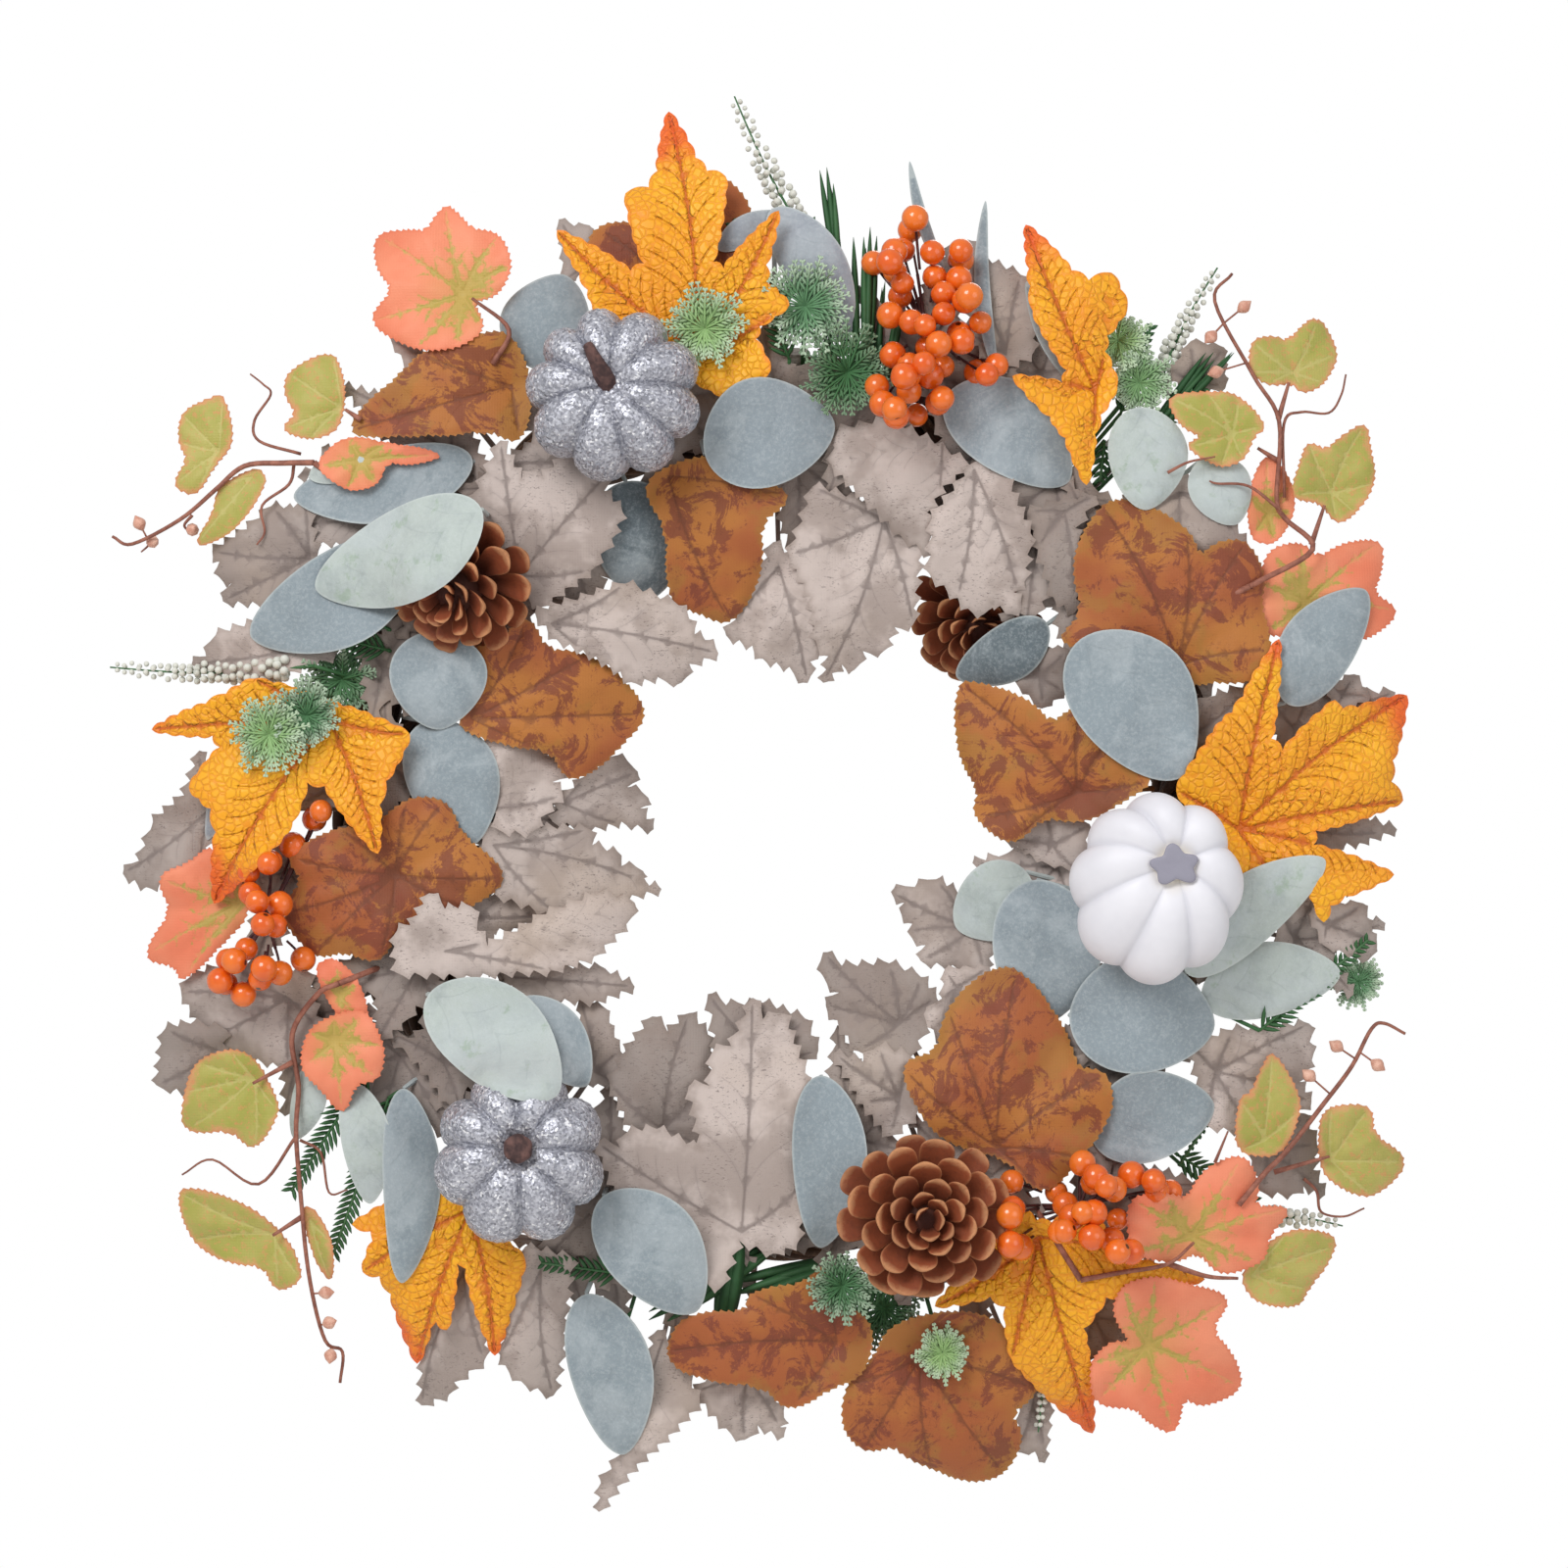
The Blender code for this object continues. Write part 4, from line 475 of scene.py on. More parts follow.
class Build:
    """The points and faces of one piece, with values at every point that its material reads."""

    KEYS = ("vein", "rim", "tone", "along")

    def __init__(self):
        self.points = []
        self.faces = []
        self.values = {key: [] for key in self.KEYS}
        self.slots = []
        self.count = 0

    def add(self, points, faces, slot=0, **values):
        points = np.asarray(points, float).reshape(-1, 3)
        self.points.append(points)
        start = self.count
        self.faces.extend([tuple(int(i) + start for i in face) for face in faces])
        self.slots.extend([slot] * len(faces))
        self.count += len(points)
        for key in self.KEYS:
            value = values.get(key, 0.0)
            self.values[key].append(np.broadcast_to(np.asarray(value, float), (len(points),)))

    def tube(self, path, radii, sides=8, slot=0, **values):
        """A closed tube along layout points, with a radius at each one."""
        path = np.asarray(path, float)
        radii = np.broadcast_to(np.asarray(radii, float), (len(path),))
        ahead = np.gradient(path, axis=0)
        ahead /= np.linalg.norm(ahead, axis=1)[:, None] + 1e-9
        side = np.cross(ahead[0], (0.31, 0.52, 0.79))
        rings = []
        for k, forward in enumerate(ahead):
            side = side - forward * np.dot(side, forward)
            side /= np.linalg.norm(side) + 1e-9
            other = np.cross(forward, side)
            turn = np.arange(sides) * 2 * math.pi / sides
            rings.append(path[k] + radii[k] * (np.outer(np.cos(turn), side)
                                               + np.outer(np.sin(turn), other)))
        values.setdefault("along", np.repeat(np.linspace(0, 1, len(path)), sides))
        self.add(np.concatenate(rings), capped_faces(len(path), sides), slot, **values)

    def finish(self, name, slot, materials, nodes=(), body="wreath", thickness=0.0, rounds=0):
        """One named object, thickened or subdivided, that rides on a body of the frame."""
        mesh = bpy.data.meshes.new(name)
        mesh.from_pydata([Vector(p) for p in world(np.concatenate(self.points))], [], self.faces)
        for key in self.KEYS:
            layer = mesh.attributes.new(key, "FLOAT", "POINT")
            layer.data.foreach_set("value", np.concatenate(self.values[key]).astype(np.float32))
        for made in materials:
            mesh.materials.append(made)
        mesh.polygons.foreach_set("material_index", self.slots)
        mesh.shade_smooth()
        made = bpy.data.objects.new(name, mesh)
        bpy.context.scene.collection.objects.link(made)
        if thickness:
            solid = made.modifiers.new("thickness", "SOLIDIFY")
            solid.thickness = thickness * MM
            solid.offset = 0.0
            shown = made.evaluated_get(bpy.context.evaluated_depsgraph_get())
            made.data = bpy.data.meshes.new_from_object(shown)
            made.modifiers.clear()
            made.data.set_sharp_from_angle(angle=math.radians(55))
        if rounds:
            finer = made.modifiers.new("rounding", "SUBSURF")
            finer.levels = rounds
            finer.render_levels = rounds
        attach(made, body)
        if nodes:
            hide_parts(*nodes)
        return made


def parse(text):
    """Outline points of "Tx,z nx,z": T marks a tip that stays sharp."""
    words = text.split()
    points = [tuple(float(v) for v in word[1:].split(",")) for word in words]
    return np.array(points), np.array([word[0] == "T" for word in words])


def area_of(points):
    x, z = points[:, 0], points[:, 1]
    return 0.5 * float(np.sum(x * np.roll(z, -1) - z * np.roll(x, -1)))


def round_corners(points, sharp, share):
    """Cuts each corner that isn't sharp once, by a share of its two edges."""
    out = []
    for k, point in enumerate(points):
        if sharp[k]:
            out.append(point)
            continue
        before, after = points[k - 1], points[(k + 1) % len(points)]
        out.append(point + (before - point) * share)
        out.append(point + (after - point) * share)
    return np.array(out)


def margin(points, pitch, height, kind, bulge):
    """Fine edge points: long edges bow out by bulge and carry teeth, scallops or waves."""
    out = []
    for k, a in enumerate(points):
        b = points[(k + 1) % len(points)]
        length = float(np.linalg.norm(b - a))
        if length < 1e-6:
            continue
        outward = np.array([b[1] - a[1], a[0] - b[0]]) / length
        teeth = max(1, round(length / pitch)) if length > 0.7 * pitch else 0
        if teeth and kind == "tooth":
            spots = [((i + phase) / teeth, height * rise) for i in range(teeth)
                     for phase, rise in TOOTH_PROFILE]
        else:
            count = max(1, int(math.ceil(length / MARGIN_STEP)))
            spots = [(i / count, height * abs(math.sin(math.pi * teeth * i / count)))
                     for i in range(count)]
        for t, lift in spots:
            out.append(a + (b - a) * t + outward * (lift + bulge * length * 4 * t * (1 - t)))
    return np.array(out)


def oval_outline(base, tip, width):
    """A pointed oval leaf, a little fuller near its base, with its midrib's bow."""
    base, tip = np.array(base, float), np.array(tip, float)
    along = tip - base
    length = np.linalg.norm(along)
    along /= length
    side = np.array([-along[1], along[0]])
    ts = 0.5 - 0.5 * np.cos(np.linspace(0, math.pi, 26))
    half = 0.5 * width * np.sin(math.pi * ts ** 0.9) ** 0.56 * (1 - 0.10 * ts)
    bow = 0.05 * length * np.sin(math.pi * ts)
    left = [base + along * length * t + side * (h + b) for t, h, b in zip(ts, half, bow)]
    right = [base + along * length * t + side * (b - h) for t, h, b in zip(ts, half, bow)]
    spine = [base + along * length * t + side * b for t, b in zip(ts, bow)]
    return np.array(left + right[-2:0:-1])[::-1], np.array(spine)


def inside(points, outline):
    """Which of the points lie inside an outline."""
    x, z = points[:, 0], points[:, 1]
    hit = np.zeros(len(points), bool)
    for k in range(len(outline)):
        x1, z1 = outline[k - 1]
        x2, z2 = outline[k]
        if z1 == z2:
            continue
        crosses = ((z1 > z) != (z2 > z)) & (x < (x2 - x1) * (z - z1) / (z2 - z1) + x1)
        hit ^= crosses
    return hit


def kd_tree(points):
    tree = KDTree(max(len(points), 1))
    for k, p in enumerate(points):
        tree.insert((p[0], p[1], 0), k)
    tree.balance()
    return tree


def distances(tree, points):
    return np.array([tree.find((p[0], p[1], 0))[2] for p in points])


def main_tips(junction, points, sharp):
    """The tips that a main vein runs to: the furthest in each sector around the junction."""
    tips = [p for p, s in zip(points, sharp) if s]
    spans = sorted(((float(np.linalg.norm(p - junction)), tuple(p)) for p in tips), reverse=True)
    chosen = []
    for span, tip in spans:
        angle = math.atan2(tip[1] - junction[1], tip[0] - junction[0])
        near = any(abs((angle - other + math.pi) % (2 * math.pi) - math.pi) < 0.42
                   for other, _ in chosen)
        if not near and span > 0.33 * spans[0][0]:
            chosen.append((angle, np.array(tip)))
    return [tip for _, tip in chosen]


def run(a, b, sag, step):
    """Points along a bowed line from a to b."""
    a, b = np.asarray(a, float), np.asarray(b, float)
    length = float(np.linalg.norm(b - a))
    count = max(2, int(length / step))
    side = np.array([-(b - a)[1], (b - a)[0]])
    ts = np.linspace(0, 1, count + 1)
    return np.array([a + (b - a) * t + side * sag * math.sin(math.pi * t) for t in ts])


def side_veins(spine, shares, reach, spread, step):
    """Pairs of bowed side veins that leave a main vein."""
    total = float(np.linalg.norm(spine[-1] - spine[0]))
    veins = []
    for share in shares:
        k = min(len(spine) - 2, max(0, int(share * (len(spine) - 1))))
        ahead = spine[k + 1] - spine[k]
        ahead = ahead / (np.linalg.norm(ahead) + 1e-9)
        for hand in (-1, 1):
            c, s = math.cos(spread * hand), math.sin(spread * hand)
            way = np.array([ahead[0] * c - ahead[1] * s, ahead[0] * s + ahead[1] * c])
            end = spine[k] + way * reach * total * (1.15 - share)
            veins.append(run(spine[k], end, -0.10 * hand, step))
    return veins


def clip_vein(vein, outline, rim_tree, room):
    """The start of a vein, up to where it nears the edge."""
    good = inside(vein, outline) & (distances(rim_tree, vein) > room)
    good[0] = True
    stop = len(vein) if good.all() else int(np.argmin(good))
    return vein[:stop]


def dense_points(veins):
    """Closely spaced points along veins."""
    runs = [np.linspace(v[k], v[k + 1], 4)[:-1] for v in veins for k in range(len(v) - 1)]
    return np.concatenate(runs) if runs else np.full((1, 2), 1e5)


def leaf_sheet(outline, mains, sides, step):
    """A flat triangle mesh of a leaf, with edges along its veins.

    Returns points, faces, distance to the nearest vein and distance to the edge."""
    if area_of(outline) < 0:
        outline = outline[::-1]
    rim_dense = np.concatenate([np.linspace(outline[k - 1], outline[k], 4)[:-1]
                                for k in range(len(outline))])
    rim_tree = kd_tree(rim_dense)
    veins = [clip_vein(v, outline, rim_tree, 0.8) for v in mains + sides]
    veins = [v for v in veins if len(v) > 2]
    main_tree = kd_tree(dense_points([clip_vein(v, outline, rim_tree, 0.8) for v in mains]))
    vein_tree = kd_tree(dense_points(veins))
    low, high = outline.min(0), outline.max(0)
    xs = np.arange(low[0], high[0], step)
    zs = np.arange(low[1], high[1], step * 0.87)
    grid = np.array([(x + (j % 2) * step / 2, z) for j, z in enumerate(zs) for x in xs])
    grid = grid[inside(grid, outline)]
    if len(grid):
        keep = (distances(rim_tree, grid) > 0.55 * step) & (distances(vein_tree, grid) > 0.5 * step)
        grid = grid[keep]
    points = [Vector(p) for p in outline]
    edges = []
    for vein in veins:
        start = len(points)
        points += [Vector(p) for p in vein]
        edges += [(start + k, start + k + 1) for k in range(len(vein) - 1)]
    points += [Vector(p) for p in grid]
    made = delaunay_2d_cdt(points, edges, [list(range(len(outline)))], 1, 1e-4)
    flat = np.array([(p.x, p.y) for p in made[0]])
    vein = np.minimum(distances(main_tree, flat), distances(vein_tree, flat) + SIDE_VEIN_STEP)
    return flat, made[2], vein, distances(rim_tree, flat)


def settle(flat, faces, wish, gap, rounds=36):
    """Lifts a sheet just enough to lie on what is below it, with its bends spread smoothly."""
    need = heights.read(flat[:, 0], flat[:, 1]) + gap
    lift = np.maximum(need - wish, 0.0)
    if not lift.any():
        return wish
    pairs = np.array([(f[i], f[i - 1]) for f in faces for i in range(len(f))])
    pairs = np.concatenate([pairs, pairs[:, ::-1]])
    count = np.bincount(pairs[:, 0], minlength=len(flat)).clip(1)
    floor = lift.copy()
    for _ in range(rounds):
        mean = np.bincount(pairs[:, 0], weights=lift[pairs[:, 1]], minlength=len(flat)) / count
        lift = np.maximum(floor, mean)
    for _ in range(4):
        mean = np.bincount(pairs[:, 0], weights=lift[pairs[:, 1]], minlength=len(flat)) / count
        lift = np.maximum(floor * 0.8, mean)
    return wish + lift


# ---- Leaves ---------------------------------------------------------------------------------

# Per kind: margin pitch, height and kind; bulge; corner share; grid step; puff between veins;
# arch of the blade; ruffle at the edge; side vein shares, reach and spread
LEAF_STYLES = {
    "taupe": (6.2, 2.7, "tooth", -0.02, 0.0, 1.9, 0.40, 6.0, 2.7, (0.18, 0.34, 0.50, 0.66, 0.8), 0.34, 0.7),
    "rust": (2.9, 0.85, "tooth", 0.05, 0.2, 2.0, 0.45, 6.0, 2.5, (0.26, 0.44, 0.62, 0.78), 0.34, 0.75),
    "yellow": (6.5, 1.0, "scallop", 0.03, 0.2, 1.6, 0.75, 7.0, 3.0,
               (0.14, 0.23, 0.32, 0.41, 0.5, 0.59, 0.68, 0.77, 0.86), 0.30, 0.75),
    "coral": (2.4, 0.85, "tooth", 0.04, 0.2, 1.7, 0.35, 4.0, 1.5, (0.25, 0.42, 0.6, 0.76), 0.32, 0.7),
    "ivy": (2.6, 0.7, "tooth", 0.04, 0.2, 1.5, 0.35, 3.5, 1.5, (0.25, 0.42, 0.6, 0.76), 0.32, 0.7),
}
TONES = {"p": 0.85, "P": 1.0, "m": 0.5, "g": 0.35, "d": 0.12, "D": 0.0, "b": 0.6, "l": 0.7, "G": 0.92,
         "5": 0.5, "c": 0.5, "o": 0.5}


class Leaf:
    """One leaf waiting to be laid: it knows its build, its place and how it bends."""

    def __init__(self, build, kind, tone, layer, seed):
        self.build = build
        self.kind = kind
        self.tone = tone
        self.layer = layer
        self.rng = random.Random(seed)
        self.slot = 0

    def lobed(self, junction, points, sharp):
        style = LEAF_STYLES[self.kind]
        pitch, height, kind, bulge, corner, step, puff, arch, ruffle, shares, reach, spread = style
        junction = np.array(junction, float)
        if area_of(points) < 0:
            points, sharp = points[::-1], sharp[::-1]
        tips = main_tips(junction, points, sharp)
        if corner:
            keep = sharp if self.kind == "yellow" else np.zeros(len(sharp), bool)
            points = round_corners(points, keep, corner)
        small = abs(area_of(points)) < 500
        outline = margin(points, pitch, height * (0.6 if small else 1.0), kind, bulge)
        mains = [run(junction, tip, self.rng.uniform(-0.05, 0.05), step) for tip in tips]
        sides = []
        for spine in mains:
            if len(spine) > 5:
                sides += side_veins(spine, shares, reach, spread, step)
        self.junction = junction
        self.tips = tips
        self.fold = self.rng.choice((-4.6, 4.2, 3.2))
        self.sheet = leaf_sheet(outline, mains, sides, step)
        self.shape = (puff, arch, ruffle)
        self.axis = None
        return self

    def oval(self, base, tip, width):
        outline, spine = oval_outline(base, tip, width)
        sides = side_veins(spine, (0.15, 0.32, 0.49, 0.66, 0.8), 0.3, 0.75, 2.0)
        self.junction = np.array(base, float)
        self.sheet = leaf_sheet(outline, [spine], sides, 1.9 if width > 14 else 1.5)
        self.shape = (0.25, 4.8, 1.5)
        ahead = np.array(tip, float) - self.junction
        self.axis = ahead / np.linalg.norm(ahead)
        self.width = width
        return self

    def lay(self):
        flat, faces, vein, rim = self.sheet
        puff, arch, ruffle = self.shape
        away = flat - self.junction
        reach = np.hypot(away[:, 0], away[:, 1])
        u = reach / max(reach.max(), 1e-6)
        size = min(1.0, reach.max() / 45.0)
        turn = np.arctan2(away[:, 1], away[:, 0])
        tilt = self.rng.uniform(-1.0, 3.0) * size
        phase = self.rng.uniform(0, 6.28)
        depth = bed(flat[:, 0], flat[:, 1]) + self.layer * LAYER_STEP
        depth += tilt * u + arch * size * 4 * u * (1 - u) - 4.0 * size * u ** 3
        depth += puff * (1 - np.exp(-(vein / 1.3) ** 2)) * np.minimum(1, rim / 2)
        depth += self.folds(away, turn, u) * size
        depth += ruffle * size * np.sin(5 * turn + phase) * np.exp(-rim / 5) * u
        depth += 0.8 * np.sin(0.11 * flat[:, 0] + phase) * np.cos(0.13 * flat[:, 1] + 2 * phase)
        if self.axis is not None:
            across = away @ np.array([-self.axis[1], self.axis[0]])
            cup = self.rng.choice((-1.0, 1.0, 1.0)) * 3.4 * min(1, self.width / 30)
            depth += cup * (across / (0.5 * self.width)) ** 2
            depth += self.rng.uniform(-1.5, 2.0) * across / (0.5 * self.width)
        depth = settle(flat, faces, depth, REST_GAP)
        heights.write(flat[:, 0], flat[:, 1], depth)
        points = np.column_stack([flat, depth])
        self.build.add(points, faces, self.slot, vein=vein, rim=rim, tone=self.tone, along=u)
        self.stalk(depth[int(np.argmin(reach))])

    def folds(self, away, turn, u):
        """Each lobe is creased a little along its middle, so its two halves tip apart."""
        if self.axis is not None:
            return 0.0
        crease = np.full(len(away), 1e3)
        for tip in self.tips:
            angle = math.atan2(*(tip - self.junction)[::-1])
            gap = np.abs((turn - angle + math.pi) % (2 * math.pi) - math.pi)
            crease = np.minimum(crease, gap)
        return self.fold * np.minimum(crease, 0.6) / 0.6 * np.minimum(1, 1.6 * u)

    def stalk(self, depth):
        """A petiole from the leaf's junction to the vine ring behind it."""
        if self.kind in ("coral", "ivy"):
            return
        x, z = self.junction
        r = math.hypot(x, z)
        aim = RING_RADIUS + max(-14.0, min(14.0, 0.35 * (r - RING_RADIUS)))
        foot = np.array([x / r * aim, z / r * aim])
        ts = np.linspace(0, 1, 9)
        path = [(x + (foot[0] - x) * t, z + (foot[1] - z) * t,
                 (depth - STALK_SINK) + (STALK_FOOT - depth + STALK_SINK) * t ** 1.4) for t in ts]
        self.build.tube(path, np.linspace(0.7, 1.1, 9), 6, self.slot, vein=0.0, rim=0.0,
                        tone=self.tone, along=-1.0)


def leaf_seed(name, index):
    return sum(ord(c) for c in name) * 31 + index


leaves = []


def queue_lobed(build, key, kind, index, junction, text):
    tones, layers = LOOKS[key]
    leaf = Leaf(build, kind, TONES[tones[index]], int(layers[index]), leaf_seed(key, index))
    leaves.append(leaf.lobed(junction, *parse(text)))
    return leaf


# ---- Materials ------------------------------------------------------------------------------

def rgb(red, green, blue):
    """A linear colour from 0-255 screen values."""
    out = []
    for value in (red, green, blue):
        value /= 255.0
        out.append(value / 12.92 if value <= 0.04045 else ((value + 0.055) / 1.055) ** 2.4)
    return (*out, 1.0)


class Paint:
    """Builds the nodes of one material."""

    def __init__(self, name, roughness=0.6, **sockets):
        self.material = bpy.data.materials.new(name)
        self.material.use_nodes = True
        self.tree = self.material.node_tree
        self.shader = self.tree.nodes["Principled BSDF"]
        self.shader.inputs["Roughness"].default_value = roughness
        for key, value in sockets.items():
            self.shader.inputs[key.replace("_", " ")].default_value = value
        self.place = self.node("ShaderNodeTexCoord").outputs["Object"]

    def node(self, kind, **settings):
        made = self.tree.nodes.new(kind)
        for key, value in settings.items():
            setattr(made, key, value)
        return made

    def put(self, socket, value):
        if isinstance(value, bpy.types.NodeSocket):
            self.tree.links.new(value, socket)
        else:
            socket.default_value = value

    def attribute(self, name):
        return self.node("ShaderNodeAttribute", attribute_name=name).outputs["Fac"]

    def noise(self, scale, detail=5.0, rough=0.6, distortion=0.0, stretch=None):
        made = self.node("ShaderNodeTexNoise")
        made.inputs["Scale"].default_value = scale
        made.inputs["Detail"].default_value = detail
        made.inputs["Roughness"].default_value = rough
        made.inputs["Distortion"].default_value = distortion
        self.put(made.inputs["Vector"], self.stretched(stretch))
        return made.outputs["Fac"]

    def stretched(self, stretch):
        if stretch is None:
            return self.place
        made = self.node("ShaderNodeMapping")
        made.inputs["Scale"].default_value = stretch
        self.put(made.inputs["Vector"], self.place)
        return made.outputs["Vector"]

    def cells(self, scale, feature="F1", output="Distance", jitter=1.0, warp=0.0, warp_scale=200.0):
        made = self.node("ShaderNodeTexVoronoi", feature=feature)
        made.inputs["Scale"].default_value = scale
        made.inputs["Randomness"].default_value = jitter
        source = self.place
        if warp:
            bend = self.node("ShaderNodeTexNoise")
            bend.inputs["Scale"].default_value = warp_scale
            self.put(bend.inputs["Vector"], self.place)
            mixed = self.node("ShaderNodeVectorMath", operation="MULTIPLY_ADD")
            self.put(mixed.inputs[0], bend.outputs["Color"])
            mixed.inputs[1].default_value = (warp, warp, warp)
            self.put(mixed.inputs[2], self.place)
            source = mixed.outputs["Vector"]
        self.put(made.inputs["Vector"], source)
        return made.outputs[output]

    def math(self, operation, a, b=0.0):
        made = self.node("ShaderNodeMath", operation=operation)
        self.put(made.inputs[0], a)
        self.put(made.inputs[1], b)
        return made.outputs[0]

    def span(self, value, low, high, smooth=True):
        """Zero at low, one at high."""
        made = self.node("ShaderNodeMapRange", interpolation_type="SMOOTHSTEP" if smooth else "LINEAR")
        self.put(made.inputs["Value"], value)
        if low > high:
            made.inputs["From Min"].default_value = high
            made.inputs["From Max"].default_value = low
            made.inputs["To Min"].default_value = 1.0
            made.inputs["To Max"].default_value = 0.0
        else:
            made.inputs["From Min"].default_value = low
            made.inputs["From Max"].default_value = high
        return made.outputs["Result"]

    def mix(self, share, a, b, blend="MIX"):
        made = self.node("ShaderNodeMix", data_type="RGBA", blend_type=blend)
        self.put(made.inputs[0], share)
        self.put(made.inputs[6], a)
        self.put(made.inputs[7], b)
        return made.outputs[2]

    def tint(self, base, mask, share, colour):
        """Lays a 0-255 colour over base where mask is one, at a share of its strength."""
        return self.mix(self.math("MULTIPLY", mask, share), base, rgb(*colour))

    def bump(self, *layers):
        """Chained relief: each layer is a height, its depth in millimetres and its strength."""
        normal = None
        for height, depth, strength in layers:
            made = self.node("ShaderNodeBump")
            made.inputs["Distance"].default_value = depth * MM
            made.inputs["Strength"].default_value = strength
            self.put(made.inputs["Height"], height)
            if normal is not None:
                self.put(made.inputs["Normal"], normal)
            normal = made.outputs["Normal"]
        self.put(self.shader.inputs["Normal"], normal)

    def colour(self, value):
        self.put(self.shader.inputs["Base Color"], value)

    def rough(self, value):
        self.put(self.shader.inputs["Roughness"], value)


def weave_of(paint, scale=1900.0):
    """Fine plain weave of printed leaf cloth."""
    made = paint.node("ShaderNodeTexWave", bands_direction="X")
    made.inputs["Scale"].default_value = scale / 6.28
    made.inputs["Distortion"].default_value = 1.5
    paint.put(made.inputs["Vector"], paint.place)
    other = paint.node("ShaderNodeTexWave", bands_direction="Z")
    other.inputs["Scale"].default_value = scale / 6.28
    other.inputs["Distortion"].default_value = 1.5
    paint.put(other.inputs["Vector"], paint.place)
    return paint.math("ADD", made.outputs["Fac"], other.outputs["Fac"])


def taupe_material():
    p = Paint("taupe_leaf_cloth", 0.72, Sheen_Weight=0.12)
    tone, vein, rim = p.attribute("tone"), p.attribute("vein"), p.attribute("rim")
    # tone runs from dark to pale taupe; the back gap leaves use its dark end as painted shade
    base = p.mix(p.span(tone, 0.0, 0.9), rgb(152, 139, 132), rgb(202, 187, 180))
    cloud = p.noise(38.0, 4.0, 0.6)
    base = p.tint(base, p.span(cloud, 0.44, 0.60), 0.6, (146, 130, 122))
    warm = p.noise(17.0, 2.0)
    base = p.tint(base, p.span(warm, 0.5, 0.8), 0.4, (190, 168, 146))
    fleck = p.noise(620.0, 2.0, 0.7, 0.8, (1.0, 1.0, 2.6))
    fleck = p.math("MULTIPLY", p.span(fleck, 0.58, 0.66), p.span(p.noise(60.0, 3.0), 0.42, 0.58))
    base = p.tint(base, fleck, 0.62, (98, 86, 84))
    line = p.math("ADD", vein, p.math("MULTIPLY", p.noise(300.0, 3.0), 0.5))
    base = p.tint(base, p.span(line, 1.1, 0.3), 0.62, (110, 96, 90))
    grey = p.math("ADD", vein, p.math("MULTIPLY", p.noise(120.0, 4.0), 5.0))
    base = p.tint(base, p.span(grey, 4.2, 1.6), 0.22, (128, 118, 118))
    base = p.tint(base, p.span(rim, 2.2, 0.0), 0.28, (128, 110, 98))
    p.colour(base)
    p.rough(p.math("ADD", 0.62, p.math("MULTIPLY", cloud, 0.2)))
    p.bump((p.span(vein, 0.0, 0.9), 0.35, 0.6), (p.noise(420.0, 4.0), 0.16, 0.5), (weave_of(p), 0.06, 0.4))
    return p.material


def rust_material():
    p = Paint("rust_leaf_cloth", 0.66, Sheen_Weight=0.1)
    vein, rim = p.attribute("vein"), p.attribute("rim")
    big = p.noise(24.0, 3.0, 0.55)
    base = p.mix(p.span(big, 0.40, 0.62), rgb(180, 112, 46), rgb(164, 88, 42))
    olive = p.math("ADD", p.noise(42.0, 4.0, 0.6), p.math("MULTIPLY", p.span(rim, 12.0, 0.0), 0.08))
    base = p.tint(base, p.span(olive, 0.54, 0.64), 0.5, (158, 112, 42))
    blotch = p.math("ADD", p.noise(62.0, 8.0, 0.78, 0.8), p.math("MULTIPLY", p.span(vein, 7.0, 0.0), 0.06))
    blotch = p.span(blotch, 0.542, 0.570)
    base = p.tint(base, blotch, 0.78, (120, 54, 36))
    fleck = p.span(p.noise(520.0, 3.0, 0.8), 0.57, 0.63)
    near = p.span(p.math("ADD", vein, p.math("MULTIPLY", p.noise(110.0), 8.0)), 7.5, 2.5)
    base = p.tint(base, p.math("MULTIPLY", fleck, near), 0.7, (100, 45, 26))
    line = p.math("ADD", vein, p.math("MULTIPLY", p.noise(260.0, 3.0), 0.5))
    base = p.tint(base, p.span(line, 1.0, 0.3), 0.62, (105, 53, 28))
    base = p.tint(base, p.span(rim, 1.0, 0.0), 0.3, (177, 128, 59))
    p.colour(base)
    p.bump((p.span(vein, 0.0, 0.9), 0.35, 0.6), (p.noise(300.0, 4.0), 0.15, 0.4), (weave_of(p), 0.06, 0.4))
    return p.material


def yellow_material():
    p = Paint("yellow_leaf_cloth", 0.5, Sheen_Weight=0.08)
    vein, rim, along = p.attribute("vein"), p.attribute("rim"), p.attribute("along")
    base = p.mix(p.span(p.noise(26.0, 3.0), 0.35, 0.7), rgb(250, 180, 20), rgb(245, 160, 14))
    net = p.cells(330.0, "DISTANCE_TO_EDGE", "Distance", 1.0, 0.0040, 110.0)
    lines = p.span(net, 0.10, 0.02)
    base = p.tint(base, lines, 0.40, (222, 114, 12))
    base = p.tint(base, p.span(vein, 0.95, 0.45), 0.55, (220, 110, 10))
    base = p.tint(base, p.span(vein, 0.55, 0.15), 0.75, (197, 86, 9))
    edge = p.math("ADD", rim, p.math("MULTIPLY", p.noise(90.0, 4.0), 5.0))
    base = p.tint(base, p.span(edge, 4.2, 1.8), 0.55, (241, 119, 25))
    tips = p.math("ADD", p.math("MULTIPLY", along, 6.0), p.math("MULTIPLY", p.noise(60.0, 3.0), 2.0))
    tips = p.math("MULTIPLY", p.span(tips, 5.2, 6.5), p.span(rim, 11.0, 2.0))
    base = p.tint(base, tips, 0.85, (236, 88, 26))
    p.colour(base)
    p.bump((p.span(vein, 0.0, 1.2), 1.0, 0.9), (p.span(net, 0.0, 0.2), 0.5, 0.7),
           (p.noise(500.0, 3.0), 0.1, 0.4))
    return p.material


